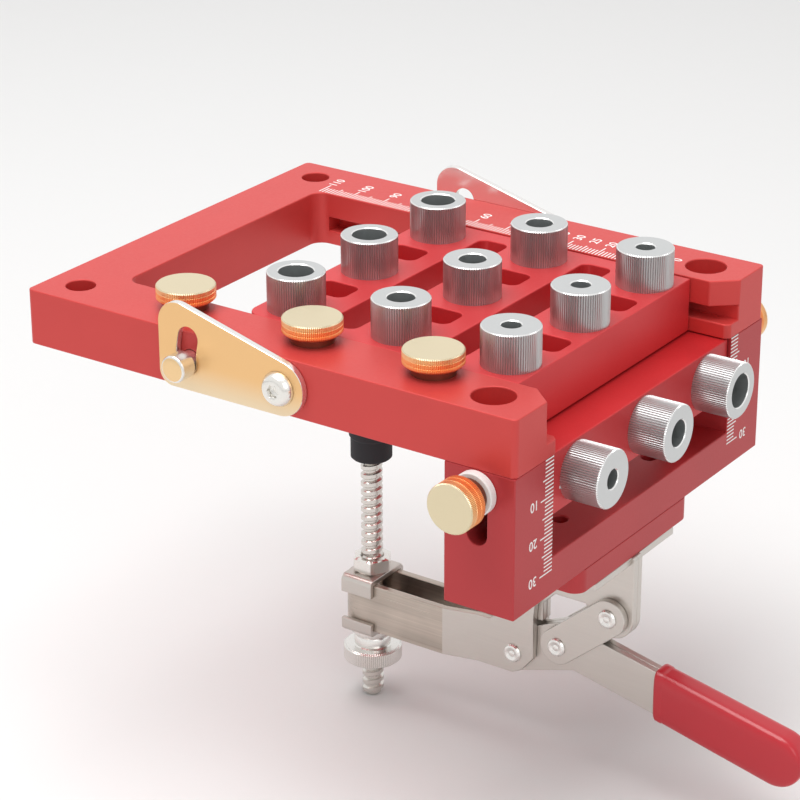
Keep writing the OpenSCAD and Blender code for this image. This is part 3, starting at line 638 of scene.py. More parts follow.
def loft(
    bm: Mesh, loops: Sequence[Loop], steps: int, matrix: Matrix, hollow: bool = False
) -> List:
    """Extrudes a circle from loop to loop.

    Args:
        bm: Mesh that takes the shape.
        loops: Functions that place the vertices of each loop.
        steps: Vertices of each loop.
        matrix: Place of the shape.
        hollow: Whether the last loop joins the first.

    Returns:
        The new faces.
    """
    before = set(bm.faces)
    ring = bmesh.ops.create_circle(bm, segments=steps, radius=1.0)["verts"]
    first = [edge for edge in bm.edges if edge.verts[0] in ring and edge.verts[1] in ring]
    edges = first
    for number, place in enumerate(loops):
        if number:
            grown = bmesh.ops.extrude_edge_only(bm, edges=edges)["geom"]
            follow = {}
            new = {item for item in grown if isinstance(item, bmesh.types.BMVert)}
            for vert in ring:
                others = (edge.other_vert(vert) for edge in vert.link_edges)
                follow[vert] = next(other for other in others if other in new)
            edges = [item for item in grown if isinstance(item, Edge)]
            edges = [e for e in edges if e.verts[0] in new and e.verts[1] in new]
            ring = [follow[vert] for vert in ring]
        for index, vert in enumerate(ring):
            vert.co = matrix @ place(index, steps)
    if hollow:
        bmesh.ops.bridge_loops(bm, edges=first + edges)
    else:
        bmesh.ops.edgeloop_fill(bm, edges=first)
        bmesh.ops.edgeloop_fill(bm, edges=edges)
    made = [face for face in bm.faces if face not in before]
    bmesh.ops.recalc_face_normals(bm, faces=made)
    return made


def shank(radius: float, length: float) -> List[Ring]:
    """Rings of the chamfered end of a shank or collar that is so long."""
    return [Ring(radius - CHAMFER, -length), Ring(radius, CHAMFER - length)]


def inset(radius: float, profile: Profile) -> List[Ring]:
    """Rings by how far each stands in from the radius and below the face, in mm."""
    return [Ring(radius - inward, -down) for inward, down in profile]


def domed(radius: float, height: float, profile: Profile) -> List[Ring]:
    """Rings of a head, by each one's shares of the radius and of the height."""
    return [Ring(radius * wide, -height * deep) for wide, deep in profile]


def hex_socket(
    half: float, mouth: float, lead: float, depth: float, floor_r: float, drop: float
) -> List[Ring]:
    """Rings of a hexagon socket: mouth, chamfer, flats of half its width, and a floor a drop below them."""
    flats = [Ring(half, -lead, Form.HEXAGON), Ring(half, -depth, Form.HEXAGON)]
    return [Ring(mouth, 0), *flats, Ring(floor_r, -depth - drop)]


def turned(
    node: str,
    axis: Axis,
    lathe: Lathe,
    rings: Callable[[float], List[Ring]],
    finishes: Sequence[Finish],
    hollow: bool = False,
    choose: Optional[Callable[[Face, Seat], Finish]] = None,
) -> None:
    """Makes the turned piece that stands for a CAD node.

    Args:
        node: Name of the CAD node.
        axis: Way in which its outer faces look.
        lathe: Lathe that turns it.
        rings: Gives the rings for the length of a solid.
        finishes: Its finishes, the main one first.
        hollow: Whether it has a bore.
        choose: Gives the finish of a face, where it has more than one.
    """
    bm = bmesh.new()
    for seat in seats(node, axis):
        for face in lathe.turn(bm, rings(seat.length), seat, hollow):
            if choose:
                face.material_index = finishes.index(choose(face, seat))
    new_piece(f"{node}_turned", bm, finishes, node)


Pick = Callable[[Edge], bool]
# Times the rounding's width that a face has to be deep
DEEP = 2.2
# Steps across the rounding of a bend in sheet
BEND_STEPS = 5
# Angle up to which faces are taken as one flat
FLAT = math.radians(0.6)


def soften(bm: Mesh, pick: Pick, width: float, segments: int) -> None:
    """Rounds outer corners between faces that are deep enough for it.

    Args:
        bm: Mesh that is changed.
        pick: Tells which of its edges may be rounded.
        width: Width of the rounding in mm.
        segments: Steps across it.
    """
    corners = [
        edge for edge in bm.edges
        if edge.is_manifold
        and edge.calc_face_angle_signed(0.0) > SHARP
        and min(face.calc_area() for face in edge.link_faces) > DEEP * width * MM * edge.calc_length()
        and pick(edge)
    ]
    bmesh.ops.bevel(
        bm, geom=corners, offset=width * MM, offset_type="OFFSET", affect="EDGES", segments=segments,
        profile=0.5, material=-1, clamp_overlap=False, loop_slide=False,
    )


def eased(
    node: str, width: float, segments: int = 1, bend: Optional[Tuple[Pick, float]] = None
) -> Mesh:
    """Copy of a CAD node's mesh with its outer edges broken.

    Args:
        node: Name of the CAD node.
        width: Width of the broken edge in mm.
        segments: Steps across it.
        bend: Which edges are bends with a wide rounding, and its width in mm.

    Returns:
        The mesh.
    """
    bm = bmesh.new()
    bm.from_mesh(frame["nodes"][node].data)
    bmesh.ops.remove_doubles(bm, verts=bm.verts, dist=WELD)
    bmesh.ops.dissolve_limit(
        bm, angle_limit=FLAT, use_dissolve_boundaries=False,
        verts=bm.verts, edges=bm.edges, delimit=set(),
    )
    if bend:
        soften(bm, bend[0], bend[1], BEND_STEPS)
    soften(bm, lambda edge: True, width, segments)
    return bm


@dataclass
class FramePlates:
    """The red plates: frame, legs and crossbar, spacer block, carriage and drill block."""

    edge: float = 0.28
    finishes: Tuple[Tuple[str, Finish], ...] = (
        ("top_frame", FRAME_RED), ("front_plate", PLATE_RED), ("clamp_block", PLATE_RED),
        ("carriage", CARRIAGE_RED), ("drill_block", BLOCK_RED),
    )
    screw_sizes: Tuple[Tuple[str, Triple], ...] = (
        ("frame_screws", (2.75, 1.5, 3.0)), ("block_screws", (3.5, 2.0, 2.7)),
    )
    head_bevel: float = 0.4
    socket_share: float = 0.45
    mouth_share: float = 1.25
    mouth_lead: float = 0.15
    point_drop: float = 0.4

    def plates(self) -> None:
        """Copies of the plates with broken edges."""
        for node, finish in self.finishes:
            new_piece(f"{node}_eased", eased(node, self.edge, 2), [finish], node)

    def _screw(self, size: Triple, length: float) -> List[Ring]:
        """Rings of a socket-head screw with its head at height 0.

        Args:
            size: Radius of the head, radius of the shank and height of the head.
            length: Its whole length.

        Returns:
            The rings from the shank's end to the socket's floor.
        """
        head_r, shank_r, head_h = size
        half = self.socket_share * head_r
        mouth = half * self.mouth_share
        return [
            *shank(shank_r, length),
            Ring(shank_r, -head_h),
            *inset(head_r, ((0.0, head_h), (0.0, self.head_bevel), (self.head_bevel, 0.0))),
            *hex_socket(half, mouth, self.mouth_lead, head_h / 2, half / 2, self.point_drop),
        ]

    def screws(self) -> None:
        """Screws that join the plates, all from below."""
        for node, size in self.screw_sizes:
            turned(
                node, Axis.DOWN, Lathe(48), lambda length, size=size: self._screw(size, length), [STEEL]
            )

    def build(self) -> None:
        """Makes all of it."""
        self.plates()
        self.screws()


@dataclass
class Bushings:
    """Fluted drill bushings on the carriage and the drill block."""

    head_r: float = 7.5
    shank_r: float = 6.0
    top_rise: float = 10.1
    edge_rise: float = 10.3
    bevel: float = 0.28
    bore_bevel: float = 0.25
    flutes: int = 76
    flute_depth: float = 0.26
    bores: Tuple[Tuple[str, float], ...] = (("small", 5.0), ("middle", 7.0), ("large", 9.0))

    def _rings(self, bore: float, rise: float, length: float) -> List[Ring]:
        """Rings of one bushing.

        Args:
            bore: Diameter of its bore.
            rise: Height of its head.
            length: Its whole length.

        Returns:
            The rings from the shank's end round the head and into the bore.
        """
        inner = bore / 2
        return [
            Ring(inner, -length),
            *shank(self.shank_r, length),
            Ring(self.shank_r, -rise),
            Ring(self.head_r, -rise, Form.FLUTED),
            Ring(self.head_r, -self.bevel, Form.FLUTED),
            Ring(self.head_r - self.bevel, 0),
            Ring(inner + self.bore_bevel, 0),
            Ring(inner, -self.bore_bevel),
        ]

    def _finish(self, face: Face, seat: Seat, inner: float) -> Finish:
        """Chooses the finish of one face.

        Args:
            face: The face.
            seat: Where its bushing stands.
            inner: Radius of the bore in mm.

        Returns:
            The finish of the bore, the end face, the bevels with their painted highlight, or the rest.
        """
        way = Vector(seat.axis.value)
        offset = (face.calc_center_median() - seat.face) / MM
        height = offset.dot(way)
        radius = (offset - height * way).length
        if radius < inner + HAIR:
            return BORE
        if height > -HAIR:
            return BUSHING_FACE
        # The bevels take the bright painted highlight
        return RIM_HIGHLIGHT if height > -max(self.bevel, self.bore_bevel) else BUSHING

    def _bushing(self, node: str, axis: Axis, rise: float, bore: float) -> None:
        """Makes the bushings of one CAD node.

        Args:
            node: Name of the CAD node.
            axis: Way in which their end faces look.
            rise: Height of their heads.
            bore: Diameter of their bores.
        """
        turned(
            node, axis, Lathe(FLUTE_STEPS * self.flutes, self.flute_depth),
            lambda length: self._rings(bore, rise, length),
            [BUSHING, BUSHING_FACE, RIM_HIGHLIGHT, BORE], True,
            lambda face, seat: self._finish(face, seat, bore / 2),
        )

    def build(self) -> None:
        """Makes one piece for each CAD node."""
        for stem, axis, rise in (
            ("bushings", Axis.UP, self.top_rise), ("edge_bushing", Axis.FRONT, self.edge_rise)
        ):
            for size, bore in self.bores:
                self._bushing(f"{stem}_{size}", axis, rise, bore)


@dataclass
class Knobs:
    """Knurled knobs of the carriage lock and the drill block lock, with their washers."""

    rail_r: float = 7.65
    rail_t: float = 3.9
    rail_neck_r: float = 5.66
    rail_neck_h: float = 2.3
    stud_r: float = 2.0
    lock_r: float = 6.45
    lock_t: float = 6.0
    collar_r: float = 4.5
    collar_l: float = 3.3
    screw_r: float = 2.5
    bevel: float = 0.3
    foot_bevel: float = 0.5
    groove: float = 0.12
    groove_shares: Tuple[float, float] = (0.36, 0.66)
    knurls: int = 100
    knurl_depth: float = 0.22
    tan_share: float = 0.4
    face_share: float = 0.5
    washer_r: float = 5.6
    washer_play: float = 0.3

    def _disc(self, radius: float, thick: float) -> List[Ring]:
        """Rings of a knurled disc with fine lines round it and a flat face.

        Args:
            radius: Its radius.
            thick: Its thickness.

        Returns:
            The rings from its foot to its face.
        """
        rings = [
            Ring(radius - self.foot_bevel, -thick),
            Ring(radius, self.foot_bevel - thick, Form.FLUTED),
        ]
        for share in reversed(self.groove_shares):
            mid = -share * thick
            rings += [
                Ring(radius, mid - self.groove, Form.FLUTED),
                Ring(radius - self.groove, mid, Form.FLUTED),
                Ring(radius, mid + self.groove, Form.FLUTED),
            ]
        return rings + [
            Ring(radius, -self.bevel, Form.FLUTED),
            Ring(radius - self.bevel, 0),
            Ring(radius * self.face_share, 0),
        ]

    def _knob(self, node: str, axis: Axis, shaft: Callable[[float], List[Ring]], disc: List[Ring]) -> None:
        """Makes one knob.

        Args:
            node: CAD node that it replaces.
            axis: Way in which its face looks.
            shaft: Gives the rings of its stud or screw for its whole length.
            disc: Rings of its disc.
        """
        foot = disc[0].height

        def choose(face: Face, seat: Seat) -> Finish:
            """Chooses the finish of one face by its height.

            Args:
                face: The face.
                seat: Where the knob stands.

            Returns:
                The finish of the end face, the shaft, the outer band or the rest.
            """
            height = (face.calc_center_median() - seat.face).dot(Vector(axis.value)) / MM
            # End face and its bevel: the painted sky reflection
            if height > -self.bevel:
                return SKY_SHEEN_FACE
            # Below the disc: the dark painted shade
            if height < foot:
                return SHADED_NECK
            return TAN if height > foot * self.tan_share else GOLD

        lathe = Lathe(FLUTE_STEPS * self.knurls, self.knurl_depth)
        finishes = [GOLD, SKY_SHEEN_FACE, SHADED_NECK, TAN]
        turned(node, axis, lathe, lambda length: shaft(length) + disc, finishes, choose=choose)

    def _stud(self, length: float) -> List[Ring]:
        """Rings of a rail knob's stud and neck.

        Args:
            length: The knob's whole length.

        Returns:
            The rings from the end of its stud to its disc.
        """
        neck = -self.rail_t - self.rail_neck_h
        return [
            *shank(self.stud_r, length),
            Ring(self.stud_r, neck),
            Ring(self.rail_neck_r, neck),
            Ring(self.rail_neck_r, -self.rail_t),
        ]

    def _screw(self, length: float) -> List[Ring]:
        """Rings of a lock knob's screw and collar.

        Args:
            length: The knob's whole length.

        Returns:
            The rings from the end of its screw to its disc.
        """
        foot = -self.lock_t - self.collar_l
        return [
            *shank(self.screw_r, length),
            Ring(self.screw_r, foot),
            *shank(self.collar_r, -foot),
            Ring(self.collar_r, -self.lock_t),
        ]

    def _washer(self, length: float) -> List[Ring]:
        """Rings of a lock knob's washer.

        Args:
            length: Its thickness.

        Returns:
            The rings from the bore's inner end round the rim to its outer end.
        """
        bore = self.screw_r + self.washer_play
        rim = inset(self.washer_r, ((0.0, CHAMFER), (CHAMFER, 0.0)))
        return [Ring(bore, -length), *shank(self.washer_r, length), *rim, Ring(bore, 0)]

    def build(self) -> None:
        """Makes the knobs and washers."""
        for place in ("rear", "middle", "front"):
            self._knob(f"rail_knob_{place}", Axis.UP, self._stud, self._disc(self.rail_r, self.rail_t))
        for side, axis in (("near", Axis.NEAR), ("far", Axis.FAR)):
            self._knob(f"lock_knob_{side}", axis, self._screw, self._disc(self.lock_r, self.lock_t))
            turned(f"lock_washer_{side}", axis, Lathe(64), self._washer, [NYLON], True)


@dataclass
class SideStops:
    """Swinging plates at the frame's sides, with their screws and guide pins."""

    edge: float = 0.25
    screw_r: float = 2.5
    head_r: float = 4.5
    head_h: float = 2.4
    dome: Profile = (
        (1.0, 1.0), (1.0, 0.85), (0.95, 0.6), (0.86, 0.32), (0.74, 0.1), (0.6, 0.0),
    )
    socket: float = 1.52
    mouth_share: float = 1.2
    mouth_lead: float = 0.12
    point_drop: float = 0.3
    pin_r: float = 2.75
    pin_head_r: float = 3.55
    pin_head_h: float = 4.9
    pin_rounding: Profile = ((0.0, 0.5), (0.15, 0.2), (0.5, 0.0))
    pin_face_share: float = 0.4
    broad: float = 0.9
    square_on: float = 0.99

    def _screw(self, length: float) -> List[Ring]:
        """Rings of a button-head screw with a hexagon socket.

        Args:
            length: Its whole length.

        Returns:
            The rings from the end of its shank to the socket's floor.
        """
        half, mouth, depth = self.socket, self.socket * self.mouth_share, self.head_h / 2
        return [
            *shank(self.screw_r, length),
            Ring(self.screw_r, -self.head_h),
            *domed(self.head_r, self.head_h, self.dome),
            *hex_socket(half, mouth, self.mouth_lead, depth, half / 2, self.point_drop),
        ]

    def _pin(self, length: float) -> List[Ring]:
        """Rings of a headed guide pin.

        Args:
            length: Its whole length.

        Returns:
            The rings from the end of its shank to its face.
        """
        return [
            *shank(self.pin_r, length),
            Ring(self.pin_r, -self.pin_head_h),
            *shank(self.pin_head_r, self.pin_head_h),
            *inset(self.pin_head_r, self.pin_rounding),
            Ring(self.pin_head_r * self.pin_face_share, 0),
        ]

    def _pin_finish(self, face: Face, seat: Seat) -> Finish:
        """Finish of a pin's face: warm on its flat end and bright elsewhere."""
        return PIN_FACE if face.normal.dot(Vector(seat.axis.value)) > self.square_on else PIN_ZINC

    def build(self) -> None:
        """Makes both sides."""
        for side, axis in (("near", Axis.NEAR), ("far", Axis.FAR)):
            plate = f"side_stop_{side}"
            bm = eased(plate, self.edge, 2)
            bm.normal_update()
            # Faces that don't look sideways take the bright painted edge highlight
            for face in bm.faces:
                face.material_index = int(face.normal.dot(Vector(axis.value)) < self.broad)
            new_piece(f"{plate}_eased", bm, [ZINC_WITH_REFLECTION, STOP_EDGE_HIGHLIGHT], plate)
            turned(f"stop_screw_{side}", axis, Lathe(72), self._screw, [PIN_ZINC])
            finishes = [PIN_ZINC, PIN_FACE]
            turned(f"stop_pin_{side}", axis, Lathe(72), self._pin, finishes, choose=self._pin_finish)


@dataclass
class Rules:
    """White millimetre rules on the far rail and on both legs, and the drill block's index lines."""

    ink: float = 0.02
    line: float = 0.36
    bold: float = 0.012
    rail_edge: float = 42.15
    rail_zero_x: float = -0.9
    rail_lengths: Triple = (3.4, 4.4, 5.7)
    rail_last: int = 110
    rail_label_y: float = 51.0
    rail_labels: Tuple[int, ...] = (0, 5, 10, 15, 20, 25, 30, 35, 40, 50, 60, 70, 80, 90, 100, 110)
    rail_digit_h: float = 2.7
    leg_edge: float = 43.75
    leg_lengths: Triple = (3.7, 4.7, 5.6)
    leg_zero_z: float = -0.2
    leg_last: int = 30
    leg_labels: Tuple[int, ...] = (10, 20, 30)
    leg_label_y: float = 52.5
    leg_digit_h: float = 2.6
    index_y: Tuple[float, float] = (36.2, 39.5)
    index_z: float = -10.35
    digit_steps: int = 3

    def _bar(self, bm: Mesh, centre: Triple, size: Triple) -> None:
        """Adds one line as a thin block, given its middle and its sides in mm."""
        place = Matrix.Translation(Vector(centre) * MM) @ Matrix.Diagonal((*(Vector(size) * MM), 1.0))
        bmesh.ops.create_cube(bm, size=1.0, matrix=place)

    def _label(self, bm: Mesh, text: str, height: float, place: Matrix) -> None:
        """Adds a number.

        Args:
            bm: Mesh that takes it.
            text: The number.
            height: Height of a digit in mm.
            place: Takes the number's own X and Y, centred and in mm, to the part.
        """
        curve = bpy.data.curves.new("number", "FONT")
        curve.body = text
        curve.extrude = self.ink
        curve.offset = self.bold
        curve.resolution_u = self.digit_steps
        holder = in_scene("number", curve)
        bpy.context.view_layer.update()
        depsgraph = bpy.context.evaluated_depsgraph_get()
        mesh = bpy.data.meshes.new_from_object(holder.evaluated_get(depsgraph))
        xs = [v.co.x for v in mesh.vertices]
        ys = [v.co.y for v in mesh.vertices]
        scale = height / (max(ys) - min(ys))
        centre = Vector(((max(xs) + min(xs)) / 2, (max(ys) + min(ys)) / 2, 0.0))
        fit = Matrix.Diagonal((scale, scale, 1.0, 1.0)) @ Matrix.Translation(-centre)
        mesh.transform(Matrix.Scale(MM, 4) @ place @ fit)
        bm.from_mesh(mesh)
        bpy.data.objects.remove(holder)
        bpy.data.curves.remove(curve)
        bpy.data.meshes.remove(mesh)

    @staticmethod
    def _length(number: int, lengths: Triple) -> float:
        """Length of the line at a number, out of the short, the medium and the long one."""
        short, medium, long = lengths
        return long if number % 10 == 0 else medium if number % 5 == 0 else short

    def rail(self) -> None:
        """Rule on top of the far rail."""
        bm = bmesh.new()
        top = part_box("top_frame")[1].z / MM
        for number in range(self.rail_last + 1):
            length = self._length(number, self.rail_lengths)
            x = self.rail_zero_x - number
            self._bar(bm, (x, self.rail_edge + length / 2, top), (self.line, length, 2 * self.ink))
        for number in self.rail_labels:
            spot = Matrix.Translation((self.rail_zero_x - number, self.rail_label_y, top))
            turn = Matrix.Rotation(math.pi / 2, 4, "Z")
            self._label(bm, str(number), self.rail_digit_h, spot @ turn)
        new_piece("rail_rule", bm, [INK], body=nodes_body("top_frame"), slot=Slot.NYLON)

    def legs(self) -> None:
        """Rules on the front faces of both legs."""
        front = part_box("front_plate")[1].x / MM
        for name, side in (("near", -1), ("far", 1)):
            bm = bmesh.new()
            for number in range(self.leg_last + 1):
                # The line at nought is as short as its neighbour
                length = self._length(number or 1, self.leg_lengths)
                y = side * (self.leg_edge + length / 2)
                self._bar(bm, (front, y, self.leg_zero_z - number), (2 * self.ink, length, self.line))
            for number in self.leg_labels:
                middle = (front, side * self.leg_label_y, self.leg_zero_z - number)
                spot = Matrix.Translation(middle)
                # The number's X runs to the near side and its Y down, so it stands on its head
                turn = Matrix(((0, 0, 1, 0), (-1, 0, 0, 0), (0, -1, 0, 0), (0, 0, 0, 1)))
                self._label(bm, str(number), self.leg_digit_h, spot @ turn)
            new_piece(f"leg_rule_{name}", bm, [INK], body=nodes_body("front_plate"), slot=Slot.NYLON)

    def index(self) -> None:
        """Index lines on the drill block's front face."""
        bm = bmesh.new()
        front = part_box("drill_block")[1].x / MM
        low, high = self.index_y
        for side in (-1, 1):
            middle = (front, side * (low + high) / 2, self.index_z)
            self._bar(bm, middle, (2 * self.ink, high - low, 2 * self.line))
        new_piece("block_index", bm, [INK], body=nodes_body("drill_block"), slot=Slot.NYLON)

    def build(self) -> None:
        """Makes all the markings."""
        self.rail()
        self.legs()
        self.index()


@dataclass
class ToggleClamp:
    """Pressed plates, rivets, screws and dipped grip of the toggle clamp."""

    edge: float = 0.22
    plates: Tuple[str, ...] = (
        "clamp_base_near", "clamp_base_far", "clamp_arm", "handle_plate_near", "handle_plate_far",
        "link_plate_near", "link_plate_far",
    )
    bend_r: float = 1.5
    joggle_x: float = -40.0
    rivets: Tuple[str, ...] = (
        "arm_pivot_rivet", "link_pivot_rivet", "handle_pivot_rivet", "link_handle_rivet",
    )
    rivet_r: float = 1.8
    head_r: float = 2.6
    head_h: float = 0.8
    rivet_head: Profile = (
        (0.1, 0.16), (0.22, 0.2), (0.34, 0.42), (0.5, 0.16), (0.7, 0.0), (0.88, 0.2), (1.0, 0.7),
        (0.97, 1.0),
    )
    flange_screw_r: float = 2.0
    flange_head_r: float = 4.0
    flange_head_h: float = 1.3
    flange_dome: Profile = ((1.0, 1.0), (0.95, 0.5), (0.7, 0.0))
    # Half its width, the mouth's radius, the chamfer's depth, its depth, the floor's radius and drop
    flange_socket: Tuple[float, ...] = (1.25, 1.6, 0.1, 0.9, 0.6, 0.2)
    slope: float = math.radians(12.3)
    grip_l: float = 43.0
    grip_h: float = 14.7
    grip_w: float = 8.0
    grip_steps: int = 64
    grip_power: float = 0.42
    # Sections from the mouth on: share of the straight part, mm beyond, shares of height and width, lean
    grip_sections: Tuple[Tuple[float, ...], ...] = (
        (1.0, 0.0, 0.8, 0.6, 1.0), (1.0, 0.0, 0.95, 0.92, 1.0), (1.0, 0.4, 0.975, 1.0, 1.0),
        (1.0, 2.0, 0.975, 1.0, 0.95), (1.0, 2.5, 0.96, 0.95, 0.9), (0.5, 0.0, 0.985, 0.97, 0.45),
        (0.0, 0.0, 1.0, 1.0, 0.0),
    )
    end_steps: int = 12
    end_least: float = 0.05
    end_power: float = 0.25

    def saddles(self) -> None:
        """Flanged washers, folded from sheet with round bends."""
        for node, upper in (("saddle_upper", True), ("saddle_lower", False)):
            low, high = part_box(node)
            pick = partial(self._is_bend, low, high, high.z if upper else low.z)
            new_piece(f"{node}_folded", eased(node, self.edge, 2, (pick, self.bend_r)), [NICKEL], node)

    def _is_bend(self, low: Vector, high: Vector, level: float, edge: Edge) -> bool:
        """Tells whether an edge is one of the two long outer edges of a saddle's plate.

        Args:
            low: Lowest corner of the saddle's box.
            high: Highest corner of the box.
            level: Height of the plate's outer face.
            edge: The edge.

        Returns:
            Whether it is one of them.
        """
        first, second = (vert.co for vert in edge.verts)
        along = abs(first.x - second.x) > 2 * self.bend_r * MM
        side = min(abs(first.y - low.y), abs(first.y - high.y))
        return along and side < NEAR_ENOUGH and abs(first.z - level) < NEAR_ENOUGH

    def _rivet(self, length: float) -> List[Ring]:
        """Rings of a rivet with a dimpled head at each end.

        Args:
            length: Its whole length.

        Returns:
            The rings from the middle of one head to that of the other.
        """
        first = [
            Ring(self.head_r * wide, self.head_h * deep - length) for wide, deep in self.rivet_head
        ]
        middle = [Ring(self.rivet_r, self.head_h - length), Ring(self.rivet_r, -self.head_h)]
        return first + middle + domed(self.head_r, self.head_h, self.rivet_head[::-1])

    def _flange_screw(self, length: float) -> List[Ring]:
        """Rings of a button-head screw through the flanges.

        Args:
            length: Its whole length.

        Returns:
            The rings from the end of its shank to the socket's floor.
        """
        return [
            *shank(self.flange_screw_r, length),
            Ring(self.flange_screw_r, -self.flange_head_h),
            *domed(self.flange_head_r, self.flange_head_h, self.flange_dome),
            *hex_socket(*self.flange_socket),
        ]

    def fasteners(self) -> None:
        """The four rivets and the screws through the flanges."""
        for node in self.rivets:
            turned(node, Axis.NEAR, Lathe(48), self._rivet, [NUT_NICKEL])
        turned("flange_screws", Axis.DOWN, Lathe(48), self._flange_screw, [STEEL])

    def _grip_place(
        self, end: Vector, section: Tuple[float, float, float, float], index: int, count: int
    ) -> Vector:
        """Places one vertex of a section across the grip, a rounded oblong.

        Args:
            end: Middle of the grip's round end in mm.
            section: Distance from there, half the height, half the width, and the lean, with 1 for plumb.
            index: The vertex's number.
            count: Number of vertices in the section.

        Returns:
            The vertex in mm.
        """
        along, half_h, half_w, lean = section
        angle = 2 * math.pi * (index + 0.5) / count
        across, up = (
            math.copysign(abs(share) ** self.grip_power, share) * half
            for share, half in ((math.cos(angle), half_w), (math.sin(angle), half_h))
        )
        cos, sin = math.cos(self.slope), math.sin(self.slope)
        reach = along - lean * up * sin / cos
        return Vector((end.x + reach * cos + up * sin, end.y + across, end.z - reach * sin + up * cos))

    def grip(self) -> None:
        """Dipped grip: flat-sided with round edges and a round end, and a rim round its mouth."""
        low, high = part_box("handle_grip")
        radius, half_w = self.grip_h / 2, self.grip_w / 2
        straight = self.grip_l - radius
        end = Vector((high.x / MM - radius, (low.y + high.y) / 2 / MM, low.z / MM + radius))
        sections = [
            (on - straight * share, radius * tall, half_w * wide, lean)
            for share, on, tall, wide, lean in self.grip_sections
        ]
        for number in range(1, self.end_steps):
            turn = math.pi / 2 * number / self.end_steps
            height = max(math.cos(turn), self.end_least)
            width = half_w * height ** self.end_power
            sections.append((radius * math.sin(turn), radius * height, width, 0.0))
        loops = [partial(self._grip_place, end, section) for section in sections]
        bm = bmesh.new()
        loft(bm, loops, self.grip_steps, Matrix.Scale(MM, 4))
        new_piece("handle_grip_dipped", bm, [VINYL], "handle_grip")

    def build(self) -> None:
        """Makes the whole clamp but for its spindle."""
        for node in self.plates:
            bm = eased(node, self.edge, 2)
            if node == "clamp_arm":
                for face in bm.faces:
                    face.material_index = int(face.calc_center_median().x < self.joggle_x * MM)
            new_piece(f"{node}_eased", bm, [NICKEL, STREAKED], node)
        self.saddles()
        self.fasteners()
        self.grip()


